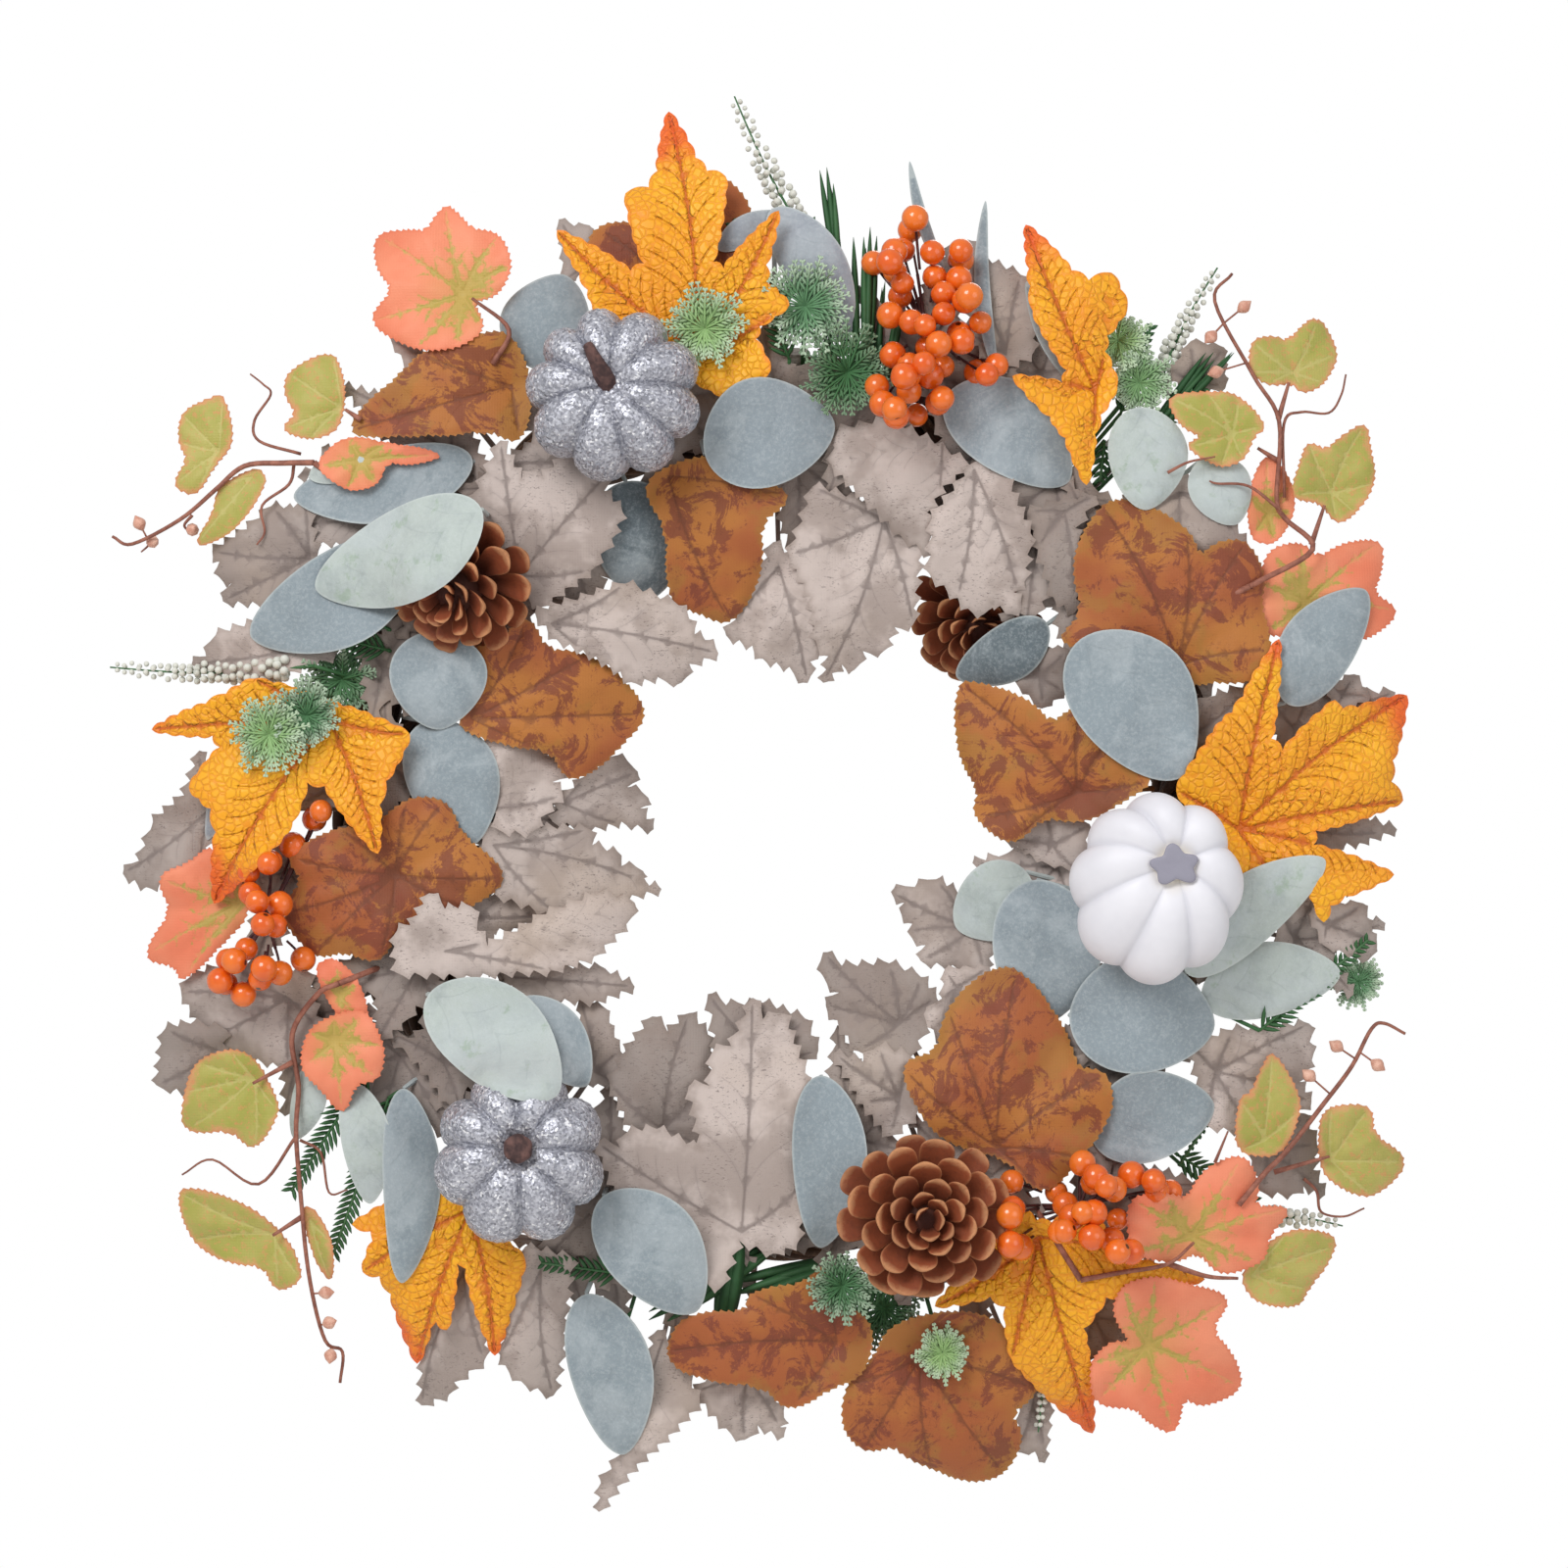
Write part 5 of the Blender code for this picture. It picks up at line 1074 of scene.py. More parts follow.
def coral_material():
    p = Paint("coral_leaf_cloth", 0.6, Sheen_Weight=0.08)
    vein, rim, along = p.attribute("vein"), p.attribute("rim"), p.attribute("along")
    base = p.mix(p.span(p.noise(30.0, 3.0), 0.35, 0.7), rgb(240, 146, 110), rgb(233, 127, 92))
    streak = p.math("ADD", p.math("MULTIPLY", vein, 0.55), p.math("MULTIPLY", p.noise(330.0, 5.0, 0.75), 3.0))
    streak = p.math("ADD", streak, p.math("MULTIPLY", along, 1.5))
    streak = p.span(streak, 2.75, 2.1)
    base = p.tint(base, streak, 0.95, (166, 161, 68))
    glow = p.math("MULTIPLY", p.span(along, 0.55, 0.1), 0.35)
    base = p.mix(glow, base, rgb(200, 157, 82))
    base = p.tint(base, p.span(vein, 0.6, 0.2), 0.30, (211, 170, 99))
    base = p.tint(base, p.span(rim, 1.2, 0.0), 0.35, (215, 103, 62))
    p.colour(base)
    p.bump((p.span(vein, 0.0, 0.8), 0.3, 0.6), (weave_of(p), 0.06, 0.5), (p.noise(260.0, 4.0), 0.15, 0.4))
    return p.material


def ivy_material():
    p = Paint("ivy_leaf_cloth", 0.6, Sheen_Weight=0.08)
    vein, rim = p.attribute("vein"), p.attribute("rim")
    base = p.mix(p.span(p.noise(40.0, 4.0), 0.35, 0.7), rgb(166, 164, 74), rgb(186, 174, 96))
    edge = p.math("ADD", rim, p.math("MULTIPLY", p.noise(95.0, 6.0, 0.78), 11.0))
    base = p.tint(base, p.span(edge, 8.2, 5.2), 0.80, (221, 154, 108))
    fleck = p.span(p.noise(420.0, 4.0, 0.8), 0.54, 0.62)
    base = p.tint(base, fleck, 0.62, (214, 142, 92))
    base = p.tint(base, p.span(vein, 0.6, 0.15), 0.50, (199, 188, 118))
    base = p.tint(base, p.span(rim, 0.8, 0.0), 0.5, (209, 113, 78))
    p.colour(base)
    p.bump((p.span(vein, 0.0, 0.8), 0.3, 0.6), (weave_of(p), 0.06, 0.5), (p.noise(260.0, 4.0), 0.15, 0.4))
    return p.material


def sage_material():
    p = Paint("sage_flock", 0.95, Sheen_Weight=0.35, Sheen_Roughness=0.5)
    tone, vein, rim = p.attribute("tone"), p.attribute("vein"), p.attribute("rim")
    base = p.mix(p.span(tone, 0.0, 0.5, False), rgb(96, 108, 114), rgb(144, 156, 163))
    base = p.mix(p.span(tone, 0.55, 0.8), base, rgb(158, 162, 174))
    base = p.mix(p.span(tone, 0.8, 0.93), base, rgb(188, 198, 193))
    cloud = p.noise(55.0, 5.0, 0.68)
    base = p.tint(base, p.span(cloud, 0.40, 0.70), 0.36, (122, 133, 140))
    pile = p.noise(700.0, 4.0, 0.8)
    base = p.tint(base, p.span(pile, 0.44, 0.68), 0.24, (210, 216, 218))
    bloom = p.noise(26.0, 5.0, 0.72, 0.6)
    base = p.tint(base, p.span(bloom, 0.46, 0.62), 0.34, (196, 204, 208))
    base = p.tint(base, p.span(vein, 1.1, 0.1), 0.24, (112, 124, 128))
    bald = p.math("MULTIPLY", p.span(p.noise(90.0, 4.0, 0.7), 0.58, 0.68), p.span(tone, 0.8, 0.95))
    base = p.tint(base, bald, 0.40, (138, 164, 130))
    # paler edge: partly the pale colour of the fuzz, partly a painted rim highlight
    base = p.tint(base, p.span(rim, 1.1, 0.0), 0.45, (206, 213, 210))
    p.colour(base)
    p.bump((p.span(vein, 0.0, 1.0), 0.2, 0.5), (cloud, 0.6, 0.5), (pile, 0.3, 0.8))
    return p.material


def glitter_material():
    p = Paint("silver_glitter", 0.34, Metallic=0.45)
    flake = p.cells(1150.0, "F1", "Color")
    parts = p.node("ShaderNodeSeparateColor")
    p.put(parts.inputs[0], flake)
    value = parts.outputs[0]
    clump = p.noise(150.0, 3.0, 0.6)
    base = p.mix(p.span(p.math("ADD", value, p.math("MULTIPLY", clump, 0.6)), 0.30, 1.30),
                 rgb(158, 159, 170), rgb(214, 215, 224))
    # painted glints: the brightest flakes are set near white as sparkle
    base = p.mix(p.span(value, 0.91, 0.97), base, rgb(252, 252, 255))
    dark = p.span(parts.outputs[1], 0.84, 0.93)
    base = p.tint(base, dark, 0.5, (92, 94, 106))
    # painted shade: darker grey down in the grooves between the lobes (rim holds the lobe swell, low in the
    # grooves)
    base = p.tint(base, p.span(p.attribute("rim"), 0.8, 0.0), 0.34, (112, 114, 126))
    p.colour(base)
    p.rough(p.math("ADD", 0.18, p.math("MULTIPLY", value, 0.42)))
    p.bump((value, 0.8, 0.9), (p.cells(640.0, "F1", "Distance"), 0.5, 0.6), (clump, 1.0, 0.5))
    return p.material


def white_material():
    p = Paint("white_pumpkin", 0.5, Sheen_Weight=0.15)
    cloud = p.noise(30.0, 4.0, 0.6)
    base = p.mix(p.span(cloud, 0.3, 0.75), rgb(238, 237, 243), rgb(228, 227, 234))
    # painted shade: darker lavender grey down in the grooves between the lobes (rim holds the lobe swell, low
    # in the grooves)
    base = p.tint(base, p.span(p.attribute("rim"), 0.6, 0.0), 0.40, (196, 196, 206))
    halo = p.span(p.attribute("along"), 0.36, 0.16)
    base = p.tint(base, halo, 0.6, (238, 230, 214))
    p.colour(base)
    p.bump((p.noise(240.0, 4.0), 0.2, 0.35), (p.noise(1400.0, 2.0), 0.05, 0.3))
    return p.material


def plain_material(name, roughness, dark, light, scale, depth, stretch=None, extra=None, **sockets):
    """A two-tone mottled surface with its own relief."""
    p = Paint(name, roughness, **sockets)
    grain = p.noise(scale, 6.0, 0.65, 0.2, stretch)
    base = p.mix(p.span(grain, 0.34, 0.68), rgb(*dark), rgb(*light))
    fine = p.noise(scale * 4.3, 4.0, 0.7, 0.0, stretch)
    base = p.tint(base, p.span(fine, 0.55, 0.7), 0.35, dark)
    if extra:
        key, low, high, colour, share = extra
        base = p.tint(base, p.span(p.attribute(key), low, high), share, colour)
    p.colour(base)
    p.rough(p.math("ADD", roughness - 0.08, p.math("MULTIPLY", fine, 0.16)))
    p.bump((grain, depth, 0.7), (fine, depth * 0.4, 0.6))
    return p.material


def berry_material():
    p = Paint("berry_gloss", 0.22, Coat_Weight=0.5, Coat_Roughness=0.08)
    along = p.attribute("along")
    base = p.mix(p.span(p.noise(120.0, 3.0), 0.35, 0.65), rgb(240, 110, 28), rgb(228, 92, 20))
    base = p.tint(base, p.span(p.attribute("tone"), 0.3, 1.0), 0.5, (246, 134, 44))
    base = p.mix(p.span(along, 0.975, 0.99), base, rgb(70, 29, 11))
    p.colour(base)
    p.bump((p.noise(900.0, 3.0), 0.05, 0.35))
    return p.material


def cone_material():
    p = Paint("cone_scale", 0.72)
    along, tone = p.attribute("along"), p.attribute("tone")
    grain = p.noise(300.0, 5.0, 0.7, 0.3, (1.0, 2.0, 1.0))
    base = p.mix(p.span(along, 0.2, 0.92), rgb(58, 22, 13), rgb(148, 72, 38))
    tip = p.math("ADD", along, p.math("MULTIPLY", grain, 0.22))
    worn = p.math("MULTIPLY", p.span(p.attribute("rim"), 0.45, 0.95), p.span(along, 0.4, 0.85))
    base = p.tint(base, worn, 0.6, (190, 124, 80))
    base = p.mix(p.span(tip, 1.03, 1.15), base, rgb(206, 144, 98))
    base = p.tint(base, p.span(grain, 0.45, 0.7), 0.40, (100, 48, 30))
    base = p.tint(base, tone, 0.35, (96, 46, 28))
    p.colour(base)
    p.bump((grain, 0.35, 0.7), (p.noise(900.0, 3.0), 0.1, 0.5))
    return p.material


def greens_material():
    """Moulded greenery: tone runs from dark grass through dill green to white flowers."""
    p = Paint("greens_plastic", 0.62)
    tone, along = p.attribute("tone"), p.attribute("along")
    base = p.mix(p.span(tone, 0.0, 0.25, False), rgb(30, 78, 38), rgb(64, 112, 66))
    base = p.mix(p.span(tone, 0.3, 0.5, False), base, rgb(104, 150, 108))
    base = p.mix(p.span(tone, 0.5, 0.75, False), base, rgb(166, 200, 134))
    base = p.mix(p.span(tone, 0.8, 0.95, False), base, rgb(222, 222, 212))
    frost = p.math("MULTIPLY", p.span(along, 0.42, 0.85), p.span(tone, 0.28, 0.4))
    base = p.tint(base, frost, 0.72, (206, 222, 198))
    mottle = p.noise(260.0, 4.0)
    base = p.tint(base, p.span(mottle, 0.5, 0.75), 0.3, (52, 84, 56))
    p.colour(base)
    p.bump((mottle, 0.2, 0.5), (p.noise(900.0), 0.08, 0.4))
    return p.material


def bark_material():
    p = Paint("vine_bark", 0.88)
    tone = p.attribute("tone")
    grain = p.noise(160.0, 6.0, 0.7, 0.6)
    base = p.mix(p.span(tone, 0.0, 1.0), rgb(64, 44, 34), rgb(118, 88, 64))
    base = p.tint(base, p.span(grain, 0.4, 0.66), 0.7, (46, 32, 26))
    base = p.tint(base, p.span(p.noise(420.0, 4.0), 0.56, 0.7), 0.5, (140, 112, 86))
    p.colour(base)
    p.bump((grain, 0.8, 0.8), (p.noise(700.0, 4.0), 0.25, 0.6))
    return p.material


def metal_material(name, dark, light, roughness):
    p = Paint(name, roughness, Metallic=1.0)
    grain = p.noise(420.0, 5.0, 0.7)
    stain = p.noise(70.0, 4.0, 0.7)
    base = p.mix(p.span(stain, 0.4, 0.65), rgb(*light), rgb(*dark))
    p.colour(base)
    p.rough(p.math("ADD", roughness - 0.1, p.math("MULTIPLY", stain, 0.35)))
    p.bump((grain, 0.06, 0.5))
    return p.material


# ---- Pumpkins, cones, berries ----------------------------------------------------------------

def pumpkin(name, lobes, turn_deg, slot, material, rib, pole, grit):
    """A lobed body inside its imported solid's box. Its stalk end faces forward, off centre by pole."""
    low, high = packed_box("pumpkin_" + name)
    middle = (low + high) / 2
    half = (high - low) / 2
    rows, columns = 72, 26 * lobes
    phase = math.radians(turn_deg)
    points, grooves, rings = [], [], []
    for i in range(rows):
        phi = math.pi * (0.5 + i) / rows
        ring = math.sin(phi) ** 0.85
        front = math.cos(phi)
        lift = math.copysign(abs(front) ** 0.8, front)
        dimple = math.exp(-(ring / 0.30) ** 2) * (0.36 if front > 0 else 0.30)
        shift = max(0.0, front) ** 1.4
        for k in range(columns):
            theta = 2 * math.pi * k / columns
            bent = theta + 0.10 * math.sin(theta + phase) + 0.05 * math.sin(2 * theta + 1.0)
            swell = abs(math.sin((bent - phase) * lobes / 2)) ** (0.62 if grit else 0.8)
            size = 1.0 + 0.03 * math.sin(2 * theta + 1.3) * ring - 0.03
            scale = (1 - rib + rib * swell) * size
            crown = 1 - 0.9 * rib * (1 - swell) * min(1.0, ring * 2.2)
            r_x, r_z = half[0] * ring * scale, half[1] * ring * scale
            y = half[2] * (lift * crown - math.copysign(dimple, front))
            rough = 0.0
            if grit:
                seed = Vector((r_x * math.sin(theta), r_z * math.cos(theta), y))
                rough = grit * (smooth_noise(seed * 1.0) + 0.6 * smooth_noise(seed * 2.3))
            points.append((middle[0] + (r_x + rough) * math.sin(theta) + pole[0] * shift,
                           middle[1] + (r_z + rough) * math.cos(theta) + pole[1] * shift,
                           middle[2] + y + rough))
            grooves.append(swell)
            rings.append(ring if front > 0 else 1.0)
    build = Build()
    # rim holds the lobe swell; the pumpkin materials darken its low values as painted shade in the grooves
    build.add(points, capped_faces(rows, columns), rim=np.array(grooves), along=np.array(rings))
    points = np.array(points)
    front = points[points[:, 2] > middle[2]]
    heights.write(front[:, 0], front[:, 1], front[:, 2], 1)
    build.finish("pumpkin_body_" + name, slot, [material], ("pumpkin_" + name,))
    return middle + np.array([pole[0], pole[1], 0.0]), half


def stalk_silver_top(middle, half):
    """A dark ribbed horn that curls up to one side."""
    build = Build()
    base = middle + np.array([0.0, 0.0, half[2] * 0.45])
    path = [base + np.array([-7.5 * t ** 1.6, 15.0 * t ** 1.5, 17.0 * t - 6.0 * t * t])
            for t in np.linspace(0, 1, 14)]
    radii = [5.6 * (1 - 0.62 * t) for t in np.linspace(0, 1, 14)]
    build.tube(path, radii, 10)
    build.points[-1] = ribbed(build.points[-1], np.array(path), 10, 0.16)
    build.finish("pumpkin_stalk_silver_top", "pumpkin_stalk", [MATERIALS["stalk"]],
                 ("pumpkin_stem_silver_top",), rounds=2)


def ribbed(points, path, sides, depth):
    """Pulls every other line of a tube towards its path."""
    out = points.copy()
    for k in range(len(points)):
        centre = path[k // sides]
        if k % 2:
            out[k] = centre + (points[k] - centre) * (1 - depth)
    return out


def stalk_silver_low(middle, half):
    """A short round stub with a broken end."""
    build = Build()
    base = middle + np.array([0.0, 0.0, half[2] * 0.45])
    ts = np.linspace(0, 1, 8)
    path = [base + np.array([0.5 * t, 0.8 * t, 14.0 * t]) for t in ts]
    build.tube(path, [6.6, 5.6, 5.2, 5.2, 5.6, 6.2, 6.2, 5.0], 12)
    build.points[-1] = ribbed(build.points[-1], np.array(path), 12, 0.14)
    build.finish("pumpkin_stalk_silver_low", "pumpkin_stalk", [MATERIALS["stalk"]],
                 ("pumpkin_stem_silver_low",), rounds=2)


def stalk_white(middle, half):
    """A flared stalk, cut flat, with a five-lobed slate-coloured end."""
    build = Build()
    base = middle + np.array([0.0, 0.0, half[2] * 0.52])
    sides = 40
    rings = []
    for t, r in ((0.0, 11.0), (0.25, 8.2), (0.6, 7.2), (0.92, 8.2), (1.0, 7.7), (1.0, 4.5), (0.97, 1.5)):
        ring = []
        for k in range(sides):
            turn = 2 * math.pi * k / sides
            lobe = 1 + 0.20 * math.cos(5 * turn + 0.6) + 0.07 * math.cos(3 * turn)
            ring.append(base + np.array([r * lobe * math.sin(turn) * 1.05, r * lobe * math.cos(turn) * 0.85,
                                         9.0 * t]))
        rings.append(ring)
    faces = capped_faces(len(rings), sides)
    build.add(np.concatenate(rings), faces, tone=np.repeat([0, 0, 0.2, 1, 1, 1, 1], sides))
    build.finish("pumpkin_stalk_white", "pumpkin_stalk", [MATERIALS["cut_stalk"]],
                 ("pumpkin_stem_white",), rounds=1)


def pine_cone(name, lean, seed, close):
    """Woody scales set in a spiral round a core that leans by (x, z) from straight ahead."""
    low, high = packed_box("pine_cone_" + name)
    middle = (low + high) / 2
    radius = float((high[0] - low[0] + high[1] - low[1]) / 4) * 1.04
    tall = float(high[2] - low[2])
    rng = random.Random(seed)
    axis = np.array([lean[0], lean[1], 1.0])
    axis /= np.linalg.norm(axis)
    right = np.cross((0.0, 1.0, 0.0), axis)
    right /= np.linalg.norm(right)
    up = np.cross(axis, right)
    build = Build()
    build.tube([middle + axis * tall * s for s in (-0.42, -0.2, 0.0, 0.16, 0.24)],
               [radius * r for r in (0.25, 0.42, 0.40, 0.26, 0.1)], 16, along=0.0, tone=1.0)
    golden = math.pi * (3 - math.sqrt(5))
    for k in range(CONE_SCALES):
        t = (k + 0.5) / CONE_SCALES  # 0 at the tip that faces forward, 1 at the back
        turn = k * golden
        open_angle = math.radians(24 + 74 * t ** 0.75 - close)
        out = right * math.cos(turn) + up * math.sin(turn)
        way = axis * math.cos(open_angle) + out * math.sin(open_angle)
        side = np.cross(way, out)
        norm = np.linalg.norm(side)
        side = np.cross(axis, out) if norm < 1e-6 else side / norm
        lift = np.cross(side, way)
        lift = lift if np.dot(lift, axis) > 0 else -lift
        start = middle + axis * tall * (0.08 - 0.48 * t) + out * radius * 0.14 * (0.3 + t)
        length = radius * (0.44 + 0.42 * min(1.0, t * 1.5) ** 0.8) * rng.uniform(0.92, 1.06)
        wide = radius * (0.14 + 0.11 * min(1.0, t * 1.8)) * rng.uniform(0.85, 1.12)
        scale_piece(build, start, way, side, lift, length, wide, rng)
    build.finish("cone_" + name, "cone_scale", [MATERIALS["cone"]], ("pine_cone_" + name,), rounds=1)
    every = np.concatenate(build.points)
    heights.write(every[:, 0], every[:, 1], every[:, 2], 2)


# Round a cone scale: places across it and above it, and how near its edge each one is
SCALE_SECTION = ((-1, 0, 1.0), (-0.6, 0.8, 0.3), (0, 0.6, 0.0), (0.6, 0.8, 0.3), (1, 0, 1.0),
                 (0.6, -0.6, 0.6), (0, -0.9, 0.5), (-0.6, -0.6, 0.6))


def scale_piece(build, start, way, side, lift, length, wide, rng):
    """One cone scale: a spoon-shaped blade with a thick blunt tip and a small point."""
    stations = ((0.0, 0.32, 0.045), (0.40, 0.56, 0.045), (0.66, 0.86, 0.05), (0.84, 1.0, 0.06),
                (0.96, 0.94, 0.07), (1.02, 0.70, 0.06), (1.05, 0.30, 0.035))
    rings = []
    curve = rng.uniform(0.02, 0.16)
    for t, w, thick in stations:
        middle = start + way * length * t + lift * length * curve * t * t
        ring = []
        for across, above, _ in SCALE_SECTION:
            cup = 0.5 * wide * w * across * across
            ring.append(middle + side * wide * w * across + lift * (length * thick * above + cup))
        rings.append(ring)
    around = len(SCALE_SECTION)
    along = np.repeat([s[0] for s in stations], around)
    edges = np.tile([edge for _, _, edge in SCALE_SECTION], len(stations))
    build.add(np.concatenate(rings), capped_faces(len(rings), around), along=along, rim=edges,
              tone=rng.uniform(0, 1))


def ball(centre, radius, pole, rows=12, columns=16):
    """A berry: a sphere of rows from its dimpled pole, with how near each point is to the pole."""
    pole = np.array(pole, float)
    pole /= np.linalg.norm(pole)
    side = np.cross(pole, (0.2, 0.9, 0.3))
    side /= np.linalg.norm(side)
    other = np.cross(pole, side)
    points, along = [], []
    for i in range(rows):
        phi = math.pi * (i + 0.35) / (rows - 0.3)
        dip = 0.10 * math.exp(-(phi / 0.30) ** 2)
        for k in range(columns):
            turn = 2 * math.pi * k / columns
            points.append(centre + radius * ((math.cos(phi) - dip) * pole
                          + math.sin(phi) * (math.cos(turn) * side + math.sin(turn) * other)))
            along.append(0.5 + 0.5 * math.cos(phi))
    return np.array(points), capped_faces(rows, columns), np.array(along)


def berries(name, hub, places):
    """Lacquered berries in two loose tiers on dark forked stalks."""
    rng = random.Random(leaf_seed(name, 7))
    build = Build()
    places = [np.array(p, float) for p in places]
    places += [p + np.array([rng.uniform(-5, 5), rng.uniform(-5, 5)]) for p in places[::2]]
    middle = np.mean(places, axis=0)
    spread = max(float(np.linalg.norm(p - middle)) for p in places)
    placed, knots = [], []
    for place in places:
        radius = rng.uniform(4.3, 5.3)
        away = np.linalg.norm(place - middle) / spread
        depth = float(heights.read(place[0], place[1])) + radius + 2.0 + 7.0 * (1 - away * away)
        for other, r, d in placed:
            gap = float(np.linalg.norm(other - place))
            if gap < r + radius:
                reach = math.sqrt(max((r + radius) ** 2 - gap * gap, 0.0))
                if abs(depth - d) < reach:
                    depth = d + reach * 0.96
        depth = min(depth, BERRY_LIMIT)
        placed.append((place, radius, depth))
        centre = np.array([place[0], place[1], depth])
        pole = (rng.uniform(-1, 1), rng.uniform(-1, 1), rng.uniform(-0.9, 0.35))
        points, faces, along = ball(centre, radius, pole)
        build.add(points, faces, 0, along=along, tone=rng.random())
        knot = np.array([place[0] * 0.55 + middle[0] * 0.45, place[1] * 0.55 + middle[1] * 0.45, BERRY_KNOT])
        knots.append(knot)
        path = [centre + (knot - centre) * t + np.array([0, 0, -4.0 * math.sin(math.pi * t)])
                for t in np.linspace(0.0, 1.0, 7)]
        build.tube(path, 0.55, 6, 1)
    for place, radius, depth in placed:
        heights.write([place[0]], [place[1]], [depth + radius * 0.7], 3)
    fork = np.array([middle[0], middle[1], BERRY_KNOT])
    for knot in knots[::2]:
        build.tube(straight(knot, fork, 5), 0.7, 6, 1)
    build.tube(straight(fork, np.array([hub[0], hub[1], BERRY_FOOT]), 6), 1.3, 8, 1)
    build.finish("berries_" + name, "berry_gloss", [MATERIALS["berry"], MATERIALS["berry_stalk"]],
                 ("berry_spray_" + name,))


# ---- Vines and greens ------------------------------------------------------------------------

def smooth_path(points, per=6):
    """A Catmull-Rom curve through layout points."""
    points = np.array(points, float)
    points = np.concatenate([[2 * points[0] - points[1]], points, [2 * points[-1] - points[-2]]])
    out = []
    for k in range(1, len(points) - 2):
        a, b, c, d = points[k - 1:k + 3]
        for t in np.linspace(0, 1, per, endpoint=False):
            out.append(0.5 * ((2 * b) + (c - a) * t + (2 * a - 5 * b + 4 * c - d) * t * t
                              + (3 * b - 3 * c + d - a) * t ** 3))
    out.append(points[-2])
    return np.array(out)


def laid_path(points, lift, per=6):
    """A smooth path that rides just above what is already laid."""
    flat = smooth_path(points, per)
    depth = np.maximum(heights.read(flat[:, 0], flat[:, 1]) + lift, bed(flat[:, 0], flat[:, 1]) + 3)
    padded = np.pad(depth, 6, mode="edge")
    wide = np.array([padded[i:i + 13].max() for i in range(len(depth))])
    padded = np.pad(wide, 6, mode="edge")
    smooth = np.array([padded[i:i + 13].mean() for i in range(len(depth))])
    return np.column_stack([flat, smooth])


def vine_stems(name):
    """Stems that taper, curling tendrils and small pointed buds of one ivy vine."""
    stems, tendrils, buds = VINE_STEMS[name]
    build = Build()
    laid = []
    for stem in stems:
        laid.append(laid_path(stem, 1.2))
        build.tube(laid[-1], np.linspace(1.15, 0.6, len(laid[-1])), 8, 0, tone=0.4)
    for tendril in tendrils:
        laid.append(laid_path(tendril, 1.2))
        build.tube(laid[-1], np.linspace(0.7, 0.35, len(laid[-1])), 6, 0, tone=0.7)
    laid = np.concatenate(laid)
    for x, z in buds:
        joint = laid[int(np.argmin(np.hypot(laid[:, 0] - x, laid[:, 1] - z)))]
        way = np.array([x, z, joint[2] + 1.5]) - joint
        way /= np.linalg.norm(way)
        heart = np.array([x, z, joint[2] + 1.5])
        build.tube(straight(joint, heart, 5), 0.4, 6, 0, tone=0.5)
        path = [heart + way * 6.5 * (t - 0.3) for t in np.linspace(0, 1, 7)]
        build.tube(path, [0.5, 1.6, 2.4, 2.6, 2.1, 1.1, 0.2], 8, 1)
    stub_start = stems[0][0]
    foot = ring_foot(*stub_start, STALK_FOOT)
    depth = float(np.maximum(heights.read(*stub_start), 27.0)) + 1.2
    build.tube([np.array([stub_start[0] + (foot[0] - stub_start[0]) * t,
                          stub_start[1] + (foot[1] - stub_start[1]) * t, depth + (foot[2] - depth) * t * t])
                for t in np.linspace(0, 1, 8)], 1.2, 8, 0, tone=0.4)
    return build


def head(build, x, z, radius, tone, rng):
    """A feathery dill-like head: forked rays that end in tiny leaflets."""
    radius *= 1.25
    depth = float(heights.read(x, z)) + 2.0
    centre = np.array([x, z, depth])
    rays = int(15 + 1.1 * radius)
    for k in range(rays):
        turn = 2 * math.pi * (k + rng.random() * 0.7) / rays
        rise = rng.uniform(0.12, 1.0) * 0.5
        reach = radius * rng.uniform(0.72, 1.05) * (1.0 if rise < 0.5 else 0.8)
        way = np.array([math.cos(turn) * math.cos(rise), math.sin(turn) * math.cos(rise),
                        math.sin(rise)])
        path = [centre + way * reach * t + np.array([0, 0, 2.0 * t * t]) for t in (0, 0.3, 0.6, 0.85, 1.0)]
        build.tube(path, [0.55, 0.5, 0.45, 0.4, 0.3], 4, 0, tone=tone)
        for share in (0.35, 0.5, 0.65, 0.8, 0.95):
            for hand in (-1, 1):
                start = centre + way * reach * share + np.array([0, 0, 2.0 * share * share])
                bend = turn + hand * 0.75
                tip = start + np.array([math.cos(bend), math.sin(bend), 0.35]) * radius * 0.26 * (
                    1.25 - share)
                blade(build, start, tip, 1.3, tone, 0.3 + 0.6 * share, 3)
    heights.write([x], [z], [depth + 2.5], int(radius * 0.5))


def blade(build, start, tip, width, tone, along, steps=6, keel=0.0, arch=0.0):
    """A thin pointed blade from start to tip with a raised keel."""
    start, tip = np.array(start, float), np.array(tip, float)
    way = tip - start
    side = np.array([-way[1], way[0], 0.0])
    side /= np.linalg.norm(side) + 1e-9
    rows = []
    for k in range(steps + 1):
        t = k / steps
        half = 0.5 * width * max(0.06, math.sin(math.pi * (0.12 + 0.88 * t)) ** 0.7)
        middle = start + way * t + np.array([0, 0, arch * math.sin(math.pi * t)])
        rise = np.array([0, 0, keel])
        under = np.array([0, 0, -0.25])
        rows.append([middle - side * half, middle + rise, middle + side * half, middle + under])
    faces = grid_faces(len(rows), 4)
    faces.append((0, 3, 2, 1))
    faces.append(tuple(steps * 4 + k for k in range(4)))
    build.add(np.concatenate(rows), faces, 0, tone=tone, along=along)


